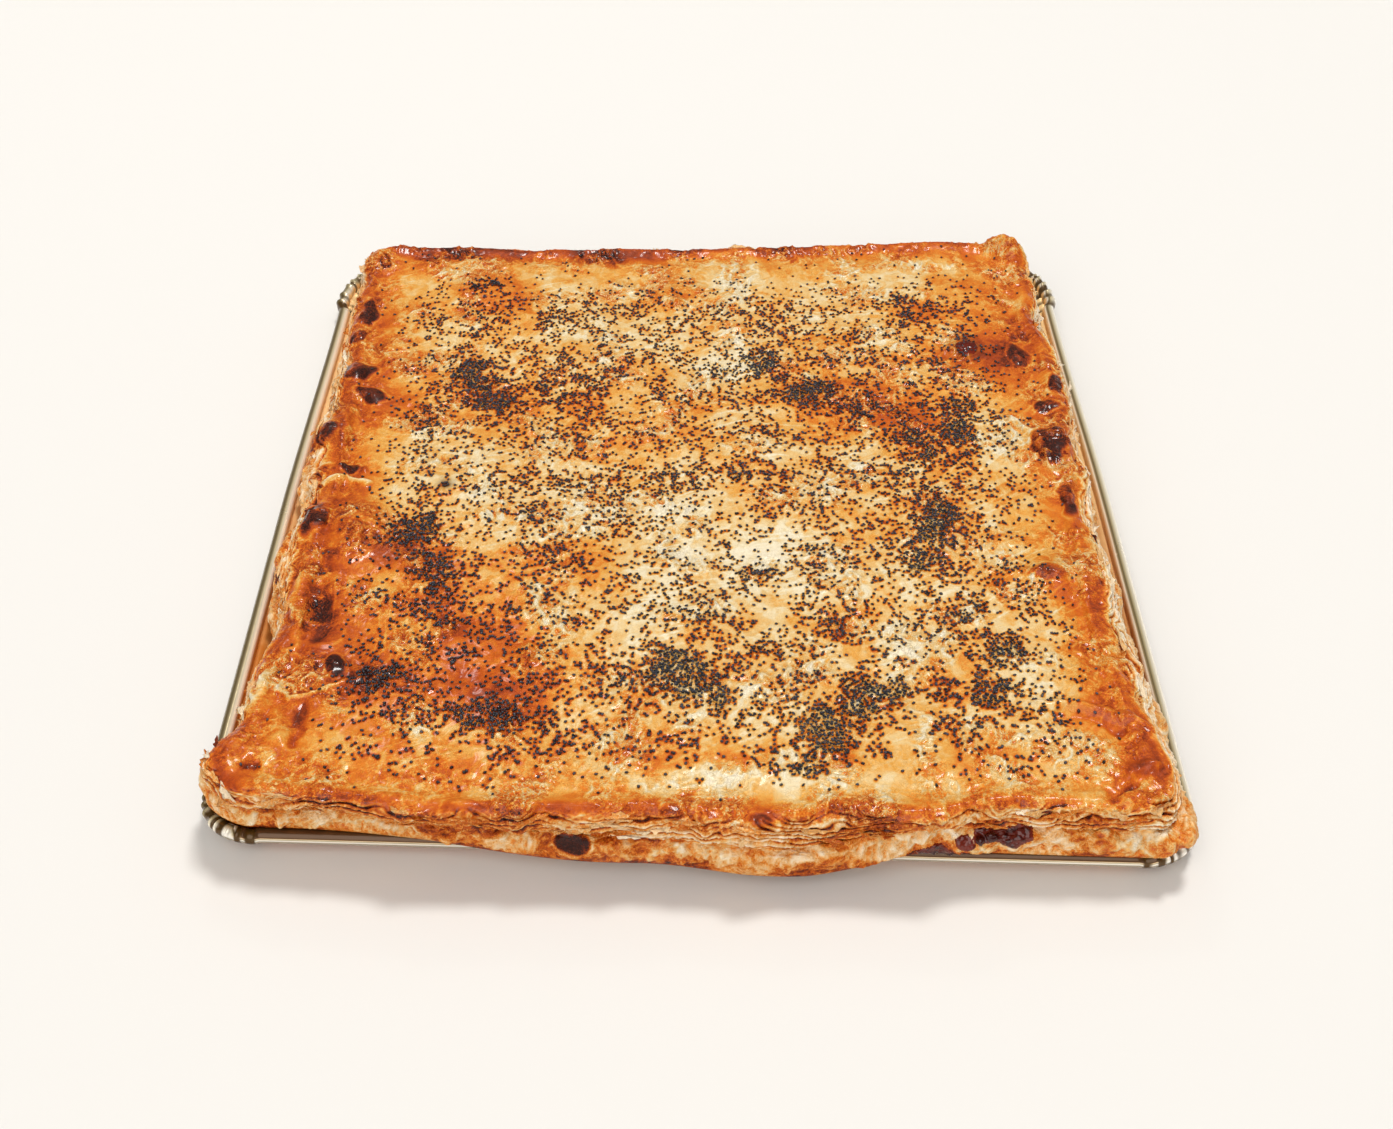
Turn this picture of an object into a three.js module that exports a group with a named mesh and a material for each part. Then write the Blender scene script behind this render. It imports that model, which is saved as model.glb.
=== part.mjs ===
// A whole puff pastry empanada lying on its gold pastry tray, with a sheet of baking paper between.
// Millimetres, +Z up, +X to the right and +Y away from the front. Every size below is from a point on
// the table under the tray's middle; the whole is moved at the end so that its box is centred.

import * as THREE from 'three';

// ---------------------------------------------------------------- driving dimensions

// The tray: a shallow sheet with a sloping border, a rolled bead along its edge, and pleated corners.
const TRAY_WIDTH = 270;
const TRAY_FRONT = -154;
const TRAY_BACK = 156;
const TRAY_CORNER_RADIUS = 19;
const TRAY_RIM_HEIGHT = 9;
const TRAY_FRONT_SKEW = 3.6; // the front edge lies this much nearer at the right corner
const TRAY_BACK_SKEW = 1;
const SHEET = 1.2; // the tray's thickness, and its floor's height above the table
const BEAD_RADIUS = 1.6;
const BORDER_WIDTH = 12; // from the outer edge to where the floor starts
const PLEATS_PER_CORNER = 9;
const PLEAT_DEPTH = 0.7;
const SIDE_STEPS = 7; // columns along each straight side of the tray

// The pastry: a filled parcel whose top sheet overlaps the bottom sheet along a seam round its side.
const PASTRY_CORNERS = {
  frontLeft: new THREE.Vector2(-131, -146),
  frontRight: new THREE.Vector2(132, -159),
  backRight: new THREE.Vector2(125, 143.5),
  backLeft: new THREE.Vector2(-125, 140),
};
const PASTRY_CORNER_RADIUS = 11;
const PASTRY_TOP = 26.5; // the top sheet's height above the table
const PASTRY_CROWN = 1.2; // how far the filling lifts its middle
const PASTRY_ACROSS = 26; // cells of the top sheet's grid, across and along
const PASTRY_ALONG = 30;

// The baking paper: a thin sheet that shows beside the pastry's back corners.
const PAPER_THICKNESS = 0.4;
const PAPER_HALF_WIDTH = 117;
const PAPER_SLOPE = 0.56; // how steeply the tabs climb the tray's border
const PAPER_FRONT = -128;
const PAPER_BACK = 134;
const PAPER_TAB_ROWS = { from: 62, to: 122, step: 5 }; // rows are close only where the tabs are
const PAPER_TABS = {
  left: { at: 92, reach: 30, out: 10.5 },
  right: { at: 91, reach: 19, out: 10.5 },
};

const TOUCH_GAP = 0.3; // left between pieces that rest on each other
const BOX_MIDDLE_SHIFT = 2.6; // brings the middle of the whole's box to the origin
const RIM_CLEARANCE = 0.5; // between the rim and the pastry that hangs over it
const HANG_SLOPE = 0.5; // how fast, and how far, the pastry's edge sinks beyond the rim
const HANG_MOST = 3;

// Lumps in the pastry's side, along each edge: where they are, how far they reach and stand out.
const LEFT_LUMPS = [
  { at: 52, reach: 24, out: 3.6 },
  { at: 2, reach: 18, out: 2.6 },
  { at: -36, reach: 16, out: 1.6 },
  { at: -80, reach: 32, out: -4.6 },
  { at: -130, reach: 15, out: 4.6 },
];
const RIGHT_LUMPS = [
  { at: 88, reach: 15, out: -4 },
  { at: 50, reach: 14, out: 1.4 },
  { at: 10, reach: 20, out: -1.2 },
  { at: -32, reach: 18, out: 0.8 },
  { at: -72, reach: 30, out: -1.6 },
  { at: -136, reach: 14, out: 1 },
];
const FRONT_LUMPS = [
  { at: -24, reach: 84, out: 6.6 },
  { at: 28, reach: 44, out: 6 },
];
// How much further the top sheet's front edge reaches than the lean of the side would give.
const FRONT_OVERHANG = [
  { at: -84, reach: 90, out: 8.5 },
  { at: 60, reach: 24, out: 6.5 },
  { at: 0, reach: 60, out: 1.5 },
];
const OVERHANG_RISE = { from: 0.3, to: 0.9 }; // the shares of the height over which it grows
const BACK_LUMPS = [
  { at: -60, reach: 34, out: -1.6 },
  { at: 10, reach: 60, out: -2.2 },
  { at: 66, reach: 12, out: 1.2 },
];

// Blisters and lifted folds on the top sheet: centre, half sizes, height.
const TOP_LUMPS = [
  { x: -117, y: 131, across: 16, along: 15, high: 2.6 },
  { x: 117, y: 139, across: 13, along: 16, high: 9 },
  { x: 88, y: 136, across: 26, along: 16, high: 2.2 },
  { x: -105, y: -38, across: 17, along: 27, high: 3.2 },
  { x: -116, y: 18, across: 9, along: 16, high: 2.2 },
  { x: -112, y: 44, across: 10, along: 14, high: 1.4 },
  { x: -108, y: -92, across: 15, along: 24, high: 1.8 },
  { x: -122, y: -134, across: 15, along: 14, high: 1.6 },
  { x: 113, y: 6, across: 10, along: 24, high: 2.4 },
  { x: 108, y: -58, across: 17, along: 14, high: 2 },
  { x: 112, y: -112, across: 18, along: 20, high: 1.6 },
  { x: 92, y: 66, across: 9, along: 11, high: 1.6 },
  { x: -8, y: 101, across: 15, along: 13, high: 1.5 },
  { x: -76, y: 104, across: 18, along: 16, high: 1.3 },
  { x: -30, y: 16, across: 16, along: 15, high: 1.2 },
  { x: 30, y: 34, across: 18, along: 15, high: 1 },
  { x: -46, y: -104, across: 17, along: 15, high: 1.2 },
  { x: -80, y: 128, across: 30, along: 12, high: 0.8 },
];

// The pastry's side from its underside to the top sheet: the share of the height, the distance in, and
// how much further in the seam between the two sheets is pinched there.
const SIDE_PROFILE = [
  { rise: 0.1, inset: 0.5, pinch: 0 },
  { rise: 0.24, inset: 0, pinch: 0 },
  { rise: 0.38, inset: 0.7, pinch: 0.2 },
  { rise: 0.47, inset: 1.4, pinch: 1.5 },
  { rise: 0.54, inset: 1.5, pinch: 1.1 },
  { rise: 0.68, inset: 2, pinch: 0.2 },
  { rise: 0.84, inset: 3.2, pinch: 0 },
  { rise: 0.95, inset: 4.5, pinch: 0 },
];
const SEAM_DRIFT = 0.07; // how far the seam wanders up and down, as a share of the height
const LEAN_ACROSS = 1.4; // the long sides lean in more than the profile says, the short ones less
const LEAN_ALONG = 0.85;
const RIDGE_INSET = 6; // where the top sheet's rounded edge is highest
const RIDGE_HEIGHT = 0.9;
const GUTTER_INSET = 12; // the shallow dip behind that edge
const GUTTER_DEPTH = 0.7;
const UNDERSIDE_INSETS = [22, 17, 13.5, 10.5, 8, 5.5, 3.2, 1.4];

// ---------------------------------------------------------------- small helpers

// A rounded bump of height 1 that fades to nothing at the distance `reach` from `at`.
function bump(value, at, reach) {
  const distance = Math.min(Math.abs(value - at) / reach, 1);
  return 0.5 + 0.5 * Math.cos(Math.PI * distance);
}

function sumOfLumps(lumps, value) {
  return lumps.reduce((sum, lump) => sum + lump.out * bump(value, lump.at, lump.reach), 0);
}

// Rings of points, each counter-clockwise from above, joined from the underside outwards and up.
// The first ring is closed by a flat floor, and the last by `topCells`, or flat when there are none.
function closedSkin(rings, extraPoints = [], topCells = null) {
  const columns = rings[0].length;
  const points = [...rings.flat(), ...extraPoints];
  const triangles = [];
  for (let ring = 0; ring + 1 < rings.length; ring += 1) {
    for (let column = 0; column < columns; column += 1) {
      const next = (column + 1) % columns;
      const low = ring * columns;
      const high = low + columns;
      triangles.push(low + column, low + next, high + next);
      triangles.push(low + column, high + next, high + column);
    }
  }
  const flatFace = (ring) => ring.map((point) => new THREE.Vector2(point.x, point.y));
  const floor = THREE.ShapeUtils.triangulateShape(flatFace(rings[0]), []);
  floor.forEach(([a, b, c]) => triangles.push(c, b, a));
  if (topCells) {
    triangles.push(...topCells);
  } else {
    const start = (rings.length - 1) * columns;
    const roof = THREE.ShapeUtils.triangulateShape(flatFace(rings.at(-1)), []);
    roof.forEach(([a, b, c]) => triangles.push(start + a, start + b, start + c));
  }
  const geometry = new THREE.BufferGeometry().setFromPoints(points);
  geometry.setIndex(triangles);
  geometry.computeVertexNormals();
  return geometry;
}

// The column and row of each point on a grid's edge, counter-clockwise from its first corner.
function gridBoundary(across, along) {
  const front = Array.from({ length: across }, (_, i) => [i, 0]);
  const right = Array.from({ length: along }, (_, j) => [across, j]);
  const back = front.map(([i]) => [across - i, along]);
  const left = right.map(([, j]) => [0, along - j]);
  return [...front, ...right, ...back, ...left];
}

function part(name, geometry, color, roughness, metalness) {
  const material = new THREE.MeshStandardMaterial({ color, roughness, metalness, name });
  const mesh = new THREE.Mesh(geometry, material);
  mesh.name = name;
  return mesh;
}

// ---------------------------------------------------------------- the tray

// Where the tray's front or back edge lies at x: both are a little out of square.
function trayEnd(x, isFront) {
  const share = x / (TRAY_WIDTH / 2);
  return isFront ? TRAY_FRONT - TRAY_FRONT_SKEW * share : TRAY_BACK + TRAY_BACK_SKEW * share;
}

// How far inside the tray's outer edge the point (x, y) lies.
function trayInset(x, y) {
  const pastSide = Math.abs(x) - (TRAY_WIDTH / 2 - TRAY_CORNER_RADIUS);
  const pastEnd = Math.abs(y) - (Math.abs(trayEnd(x, y < 0)) - TRAY_CORNER_RADIUS);
  const inCorner = Math.hypot(Math.max(pastSide, 0), Math.max(pastEnd, 0));
  return TRAY_CORNER_RADIUS - inCorner - Math.min(Math.max(pastSide, pastEnd), 0);
}

// The columns round the tray's edge: a point, the direction inwards, and the pleat's height there.
function trayColumns() {
  const columns = [];
  const sideX = TRAY_WIDTH / 2 - TRAY_CORNER_RADIUS;
  const cornerSigns = [[1, -1], [1, 1], [-1, 1], [-1, -1]];
  const pleatSteps = 2 * PLEATS_PER_CORNER;
  const cornerAt = ([signX, signY]) => {
    const endY = trayEnd(signX * sideX, signY < 0) - signY * TRAY_CORNER_RADIUS;
    return new THREE.Vector2(signX * sideX, endY);
  };
  cornerSigns.forEach((signs, index) => {
    const centre = cornerAt(signs);
    const startAngle = (index - 1) * (Math.PI / 2);
    for (let step = 0; step <= pleatSteps; step += 1) {
      const angle = startAngle + (step / pleatSteps) * (Math.PI / 2);
      const outward = new THREE.Vector2(Math.cos(angle), Math.sin(angle));
      const edge = centre.clone().addScaledVector(outward, TRAY_CORNER_RADIUS);
      columns.push({ edge, inward: outward.negate(), pleat: step % 2 === 1 ? 1 : 0 });
    }
    const nextCentre = cornerAt(cornerSigns[(index + 1) % 4]);
    const sideAngle = index * (Math.PI / 2);
    const outward = new THREE.Vector2(Math.cos(sideAngle), Math.sin(sideAngle));
    for (let step = 1; step < SIDE_STEPS; step += 1) {
      const edge = centre.clone().lerp(nextCentre, step / SIDE_STEPS);
      edge.addScaledVector(outward, TRAY_CORNER_RADIUS);
      columns.push({ edge, inward: outward.clone().negate(), pleat: 0 });
    }
  });
  return columns;
}

// The tray's section from under its floor, out round the bead and back to the floor's top: the
// distance in from the edge, the height, and how much of a pleat shows there.
function traySection() {
  const beadHeight = TRAY_RIM_HEIGHT - BEAD_RADIUS;
  const bead = [215, 180, 135, 90, 45, 5].map((degrees) => {
    const angle = THREE.MathUtils.degToRad(degrees);
    return {
      inset: BEAD_RADIUS * (1 + Math.cos(angle)),
      height: beadHeight + BEAD_RADIUS * Math.sin(angle),
      pleat: 0.5,
    };
  });
  const underBead = { inset: 2.4, height: 5.1, pleat: 0.5 };
  const floorEdge = { inset: BORDER_WIDTH - SHEET / 2, height: 0, pleat: 0 };
  const midBorder = { inset: 7.4, height: 3.9, pleat: 1 };
  const floorTop = { inset: BORDER_WIDTH + SHEET / 2, height: SHEET, pleat: 0 };
  return [floorEdge, underBead, ...bead, midBorder, floorTop];
}

function buildTray() {
  const columns = trayColumns();
  const rings = traySection().map(({ inset, height, pleat }) => columns.map((column) => {
    const plan = column.edge.clone().addScaledVector(column.inward, inset);
    return new THREE.Vector3(plan.x, plan.y, height - PLEAT_DEPTH * pleat * column.pleat);
  }));
  return part('foil_tray', closedSkin(rings), 0xc9a56a, 0.32, 0.9);
}

// The underside's height at (x, y) of a piece lying in the tray: the floor, a ramp up the border, level
// over the rim, and hanging a little past it. `lift` is its height above the floor.
function restingHeight(x, y, lift) {
  const rampFoot = BORDER_WIDTH + 1.2;
  const rampHead = 2 * BEAD_RADIUS + 1;
  const onFloor = SHEET + lift;
  const overRim = TRAY_RIM_HEIGHT + RIM_CLEARANCE;
  const inset = trayInset(x, y);
  const share = THREE.MathUtils.clamp((rampFoot - inset) / (rampFoot - rampHead), 0, 1);
  const hang = THREE.MathUtils.clamp(-(inset + 1) * HANG_SLOPE, 0, HANG_MOST);
  return onFloor + share * (overRim - onFloor) - hang;
}

// ---------------------------------------------------------------- the pastry

const HALF_WIDTH = (PASTRY_CORNERS.frontRight.x - PASTRY_CORNERS.frontLeft.x) / 2;
const HALF_LENGTH = (PASTRY_CORNERS.backLeft.y - PASTRY_CORNERS.frontLeft.y) / 2;

// Rounds the corners of the square -1..1, keeping each smaller square round the middle inside it.
function roundCorner(u, v) {
  const size = Math.max(Math.abs(u), Math.abs(v));
  const cornerU = PASTRY_CORNER_RADIUS / HALF_WIDTH;
  const cornerV = PASTRY_CORNER_RADIUS / HALF_LENGTH;
  const pastU = (Math.abs(u) / size - (1 - cornerU)) / cornerU;
  const pastV = (Math.abs(v) / size - (1 - cornerV)) / cornerV;
  if (size === 0 || pastU <= 0 || pastV <= 0) {
    return [u, v];
  }
  const length = Math.hypot(pastU, pastV);
  const roundedU = 1 - cornerU + (cornerU * pastU) / length;
  const roundedV = 1 - cornerV + (cornerV * pastV) / length;
  return [Math.sign(u) * size * roundedU, Math.sign(v) * size * roundedV];
}

// The plan of the pastry: the square -1..1 with rounded corners, laid on its four corners, with the
// lumps of its sides. `overhang` is 0 for the bottom sheet and 1 for the top sheet.
function pastryPlan(u, v, overhang) {
  const { frontLeft, frontRight, backRight, backLeft } = PASTRY_CORNERS;
  const front = frontLeft.clone().lerp(frontRight, (u + 1) / 2);
  const back = backLeft.clone().lerp(backRight, (u + 1) / 2);
  const plan = front.lerp(back, (v + 1) / 2);
  const sideways = u < 0 ? sumOfLumps(LEFT_LUMPS, plan.y) : sumOfLumps(RIGHT_LUMPS, plan.y);
  const frontLumps = sumOfLumps(FRONT_LUMPS, plan.x) + overhang * sumOfLumps(FRONT_OVERHANG, plan.x);
  const endways = v < 0 ? frontLumps : sumOfLumps(BACK_LUMPS, plan.x);
  return new THREE.Vector2(plan.x + u ** 3 * sideways, plan.y + v ** 3 * endways);
}

// The point `inset` inside the pastry's outline, towards its middle.
function insetPlan([u, v], inset, overhang = 0) {
  const shareAcross = (LEAN_ACROSS * inset) / HALF_WIDTH;
  const shareAlong = (LEAN_ALONG * inset) / HALF_LENGTH;
  return pastryPlan(u * (1 - shareAcross), v * (1 - shareAlong), overhang);
}

// The top sheet's height: a low crown, a rounded edge with a gutter behind it, long swells, and lumps.
function topHeight(x, y, edgeDistance) {
  const crown = PASTRY_CROWN * Math.min(edgeDistance / 60, 1);
  const ridge = RIDGE_HEIGHT * bump(edgeDistance, RIDGE_INSET, 5);
  const gutter = GUTTER_DEPTH * bump(edgeDistance, GUTTER_INSET, 8);
  const swell = 0.5 * Math.sin(x / 13 + 0.7) * Math.cos(y / 17) + 0.4 * Math.sin((x + y) / 21);
  const lumps = TOP_LUMPS.reduce((sum, lump) => {
    const away = Math.hypot((x - lump.x) / lump.across, (y - lump.y) / lump.along);
    return sum + lump.high * bump(away, 0, 1);
  }, 0);
  return PASTRY_TOP + crown + ridge - gutter + swell + lumps;
}

// Grid lines from -1 to 1, close together near the edge where the top sheet bends over.
function gridLines(cells, halfSize) {
  const edgeGaps = [0, 4, 9];
  const edge = edgeGaps.map((gap) => 1 - gap / halfSize);
  const inner = cells - 2 * (edge.length - 1);
  const reach = edge.at(-1);
  const middle = Array.from({ length: inner - 1 }, (_, index) => reach * (-1 + (2 * (index + 1)) / inner));
  return [...edge.map((line) => -line), ...middle, ...edge.reverse()];
}

// How tightly the seam is pinched at a point of the outline, from about 0.2 to 1.6, and how far it has
// wandered up or down there, from -1 to 1.
function seamAt({ x, y }) {
  const tightness = 0.9 + 0.4 * Math.sin(x / 11 - y / 31) + 0.3 * Math.sin(x / 29 + y / 9 + 2);
  const wander = 0.6 * Math.sin(x / 23 + y / 19 + 1) + 0.4 * Math.sin(x / 8 - y / 12);
  return { tightness, wander };
}

function buildPastry() {
  const linesU = gridLines(PASTRY_ACROSS, HALF_WIDTH);
  const linesV = gridLines(PASTRY_ALONG, HALF_LENGTH);
  const boundary = gridBoundary(PASTRY_ACROSS, PASTRY_ALONG);
  const outline = boundary.map(([i, j]) => roundCorner(linesU[i], linesV[j]));
  const pastryLift = 3 * TOUCH_GAP + PAPER_THICKNESS;

  const pointAt = (square, inset, heightAt, overhang = 0) => {
    const plan = insetPlan(square, inset, overhang);
    return new THREE.Vector3(plan.x, plan.y, heightAt(plan));
  };
  const underneath = (plan) => restingHeight(plan.x, plan.y, pastryLift);
  const edgeTop = (square) => {
    const plan = insetPlan(square, RIDGE_INSET, 1);
    return topHeight(plan.x, plan.y, RIDGE_INSET);
  };
  const underRings = UNDERSIDE_INSETS.map((inset) => (
    outline.map((square) => pointAt(square, inset, underneath))
  ));
  const sideRings = SIDE_PROFILE.map(({ rise, inset, pinch }) => outline.map((square) => {
    const seam = seamAt(insetPlan(square, 0));
    const low = underneath(insetPlan(square, UNDERSIDE_INSETS.at(-1)));
    const share = rise + SEAM_DRIFT * seam.wander * Math.min(pinch, 1);
    const height = THREE.MathUtils.lerp(low, edgeTop(square), share);
    const overhang = THREE.MathUtils.smoothstep(rise, OVERHANG_RISE.from, OVERHANG_RISE.to);
    return pointAt(square, inset + pinch * seam.tightness, () => height, overhang);
  }));
  const topRing = outline.map((square) => pointAt(square, RIDGE_INSET, () => edgeTop(square), 1));
  const rings = [...underRings, ...sideRings, topRing];

  // The top sheet's grid shares its outermost points with the last ring.
  const firstTop = (rings.length - 1) * outline.length;
  const numbers = new Map(boundary.map(([i, j], index) => [`${i},${j}`, firstTop + index]));
  const insidePoints = [];
  for (let j = 1; j < PASTRY_ALONG; j += 1) {
    for (let i = 1; i < PASTRY_ACROSS; i += 1) {
      const [u, v] = roundCorner(linesU[i], linesV[j]);
      const plan = insetPlan([u, v], RIDGE_INSET, 1);
      const acrossGap = (1 - Math.abs(u)) * HALF_WIDTH;
      const alongGap = (1 - Math.abs(v)) * HALF_LENGTH;
      const height = topHeight(plan.x, plan.y, RIDGE_INSET + Math.min(acrossGap, alongGap));
      numbers.set(`${i},${j}`, firstTop + outline.length + insidePoints.length);
      insidePoints.push(new THREE.Vector3(plan.x, plan.y, height));
    }
  }
  const cells = [];
  for (let j = 0; j < PASTRY_ALONG; j += 1) {
    for (let i = 0; i < PASTRY_ACROSS; i += 1) {
      const corner = (di, dj) => numbers.get(`${i + di},${j + dj}`);
      cells.push(corner(0, 0), corner(1, 0), corner(1, 1));
      cells.push(corner(0, 0), corner(1, 1), corner(0, 1));
    }
  }
  return part('pastry', closedSkin(rings, insidePoints, cells), 0xdc9a4a, 0.45, 0);
}

// ---------------------------------------------------------------- the baking paper

// The paper's half width at y: under the pastry for most of its length, with a tab on each side that
// lies up the tray's border near the back corners.
function paperHalfWidth(y, isLeft) {
  const tab = isLeft ? PAPER_TABS.left : PAPER_TABS.right;
  return PAPER_HALF_WIDTH + tab.out * bump(y, tab.at, tab.reach);
}

// The sheet's columns: flat under the pastry, then creased where the tray's border begins.
function paperColumns(y) {
  const side = (isLeft) => {
    const edge = paperHalfWidth(y, isLeft);
    const crease = Math.min(edge - 2, TRAY_WIDTH / 2 - BORDER_WIDTH - 1.5);
    return [0.4 * crease, 0.8 * crease, crease, (crease + edge) / 2, edge];
  };
  return [...side(true).reverse().map((x) => -x), 0, ...side(false)];
}

function paperRows() {
  const { from, to, step } = PAPER_TAB_ROWS;
  const plainRows = [PAPER_FRONT, 0.5 * (PAPER_FRONT + from)];
  const tabRows = Array.from({ length: (to - from) / step + 1 }, (_, index) => from + index * step);
  return [...plainRows, ...tabRows, PAPER_BACK];
}

function buildPaper() {
  const rows = paperRows().map((y) => paperColumns(y).map((x) => {
    const rise = Math.max(0, BORDER_WIDTH + SHEET / 2 - trayInset(x, y)) * PAPER_SLOPE;
    return new THREE.Vector3(x, y, SHEET + TOUCH_GAP + rise);
  }));
  const across = rows[0].length - 1;
  const along = rows.length - 1;
  const under = rows.flat();
  const above = under.map((point) => point.clone().setZ(point.z + PAPER_THICKNESS));
  const number = (i, j) => j * (across + 1) + i;

  const triangles = [];
  for (let j = 0; j < along; j += 1) {
    for (let i = 0; i < across; i += 1) {
      const cell = [number(i, j), number(i + 1, j), number(i + 1, j + 1), number(i, j + 1)];
      const [a, b, c, d] = cell.map((index) => index + under.length);
      triangles.push(cell[0], cell[2], cell[1], cell[0], cell[3], cell[2]);
      triangles.push(a, b, c, a, c, d);
    }
  }
  const edge = gridBoundary(across, along).map(([i, j]) => number(i, j));
  edge.forEach((low, index) => {
    const next = edge[(index + 1) % edge.length];
    triangles.push(low, next, next + under.length, low, next + under.length, low + under.length);
  });
  const geometry = new THREE.BufferGeometry().setFromPoints([...under, ...above]);
  geometry.setIndex(triangles);
  geometry.computeVertexNormals();
  return part('baking_paper', geometry, 0xf1ece2, 0.8, 0);
}

// ---------------------------------------------------------------- the whole

const empanada = new THREE.Group();
empanada.name = 'puff_pastry_empanada';
empanada.add(buildTray(), buildPaper(), buildPastry());

// The pastry reaches past the tray's front edge, so the box's middle lies a little in front.
empanada.position.y = BOX_MIDDLE_SHIFT;

export default empanada;
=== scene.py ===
"""Dresses a whole puff pastry empanada, lying on its gold pastry tray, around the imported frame.

Shapes are worked out in millimetres from a point on the table under the tray's middle, with +Y away from
the front and +Z up, and become metres in the frame when they are put into a mesh.
"""

import logging
import math
from dataclasses import dataclass, field
from enum import Enum

import bpy
import numpy as np
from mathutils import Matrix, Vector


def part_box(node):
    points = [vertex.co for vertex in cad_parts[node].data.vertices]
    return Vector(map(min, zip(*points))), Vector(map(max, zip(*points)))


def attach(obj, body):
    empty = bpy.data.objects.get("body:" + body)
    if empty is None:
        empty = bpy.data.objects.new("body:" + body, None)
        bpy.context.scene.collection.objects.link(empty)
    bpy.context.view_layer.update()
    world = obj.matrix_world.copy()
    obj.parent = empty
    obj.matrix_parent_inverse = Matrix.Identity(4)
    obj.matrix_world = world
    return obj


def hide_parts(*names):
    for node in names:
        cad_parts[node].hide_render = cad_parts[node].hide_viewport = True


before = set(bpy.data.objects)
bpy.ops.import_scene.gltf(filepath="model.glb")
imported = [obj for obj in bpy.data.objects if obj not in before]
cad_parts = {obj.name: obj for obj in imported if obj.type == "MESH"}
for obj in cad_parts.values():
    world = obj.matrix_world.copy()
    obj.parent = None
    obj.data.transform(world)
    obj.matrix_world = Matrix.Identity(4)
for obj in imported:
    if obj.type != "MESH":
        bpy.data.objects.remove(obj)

LOG = logging.getLogger("empanada")
MM = 0.001
TINY = 1e-9  # keeps a division away from 0
BODY = "root"

Array = np.ndarray
Socket = bpy.types.NodeSocket
Material = bpy.types.Material
Piece = bpy.types.Object
Triple = tuple[float, float, float]
Size = float | Triple
Layers = tuple[tuple[float, float, Size], ...]  # noises to add up: amount, shift of the place, size


# ---- small mathematics


def smooth(value: Array, low: float, high: float) -> Array:
    """Rises from 0 at `low` to 1 at `high` along an S-shaped curve, 3t^2 - 2t^3."""
    share = np.clip((value - low) / (high - low), 0.0, 1.0)
    return share * share * (3.0 - 2.0 * share)


def bump(value: Array, at: float, reach: float) -> Array:
    """A rounded bump, half a cosine wave each way: 1 at `at`, and 0 from `reach` away."""
    return 0.5 + 0.5 * np.cos(np.pi * np.clip(np.abs(value - at) / reach, 0.0, 1.0))


def unit(vectors: Array) -> Array:
    """Each vector, on the last axis, brought to length 1."""
    return vectors / np.maximum(np.linalg.norm(vectors, axis=-1, keepdims=True), TINY)


def sharpen(value: Array, spread: float) -> Array:
    """Pushes noise apart along an S-shaped curve: -1 from `-spread` down, and 1 from `spread` up."""
    return 2.0 * smooth(value, -spread, spread) - 1.0


def soften(grid: Array, rounds: int) -> Array:
    """Blurs a grid by averaging each number with its neighbours, 1-2-1 each way.

    Args:
        grid: numbers in rows and columns.
        rounds: how often they are averaged.

    Returns:
        The blurred grid.
    """
    for _ in range(rounds):
        for axis in (0, 1):
            grid = 0.5 * grid + 0.25 * (np.roll(grid, 1, axis) + np.roll(grid, -1, axis))
    return grid


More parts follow.
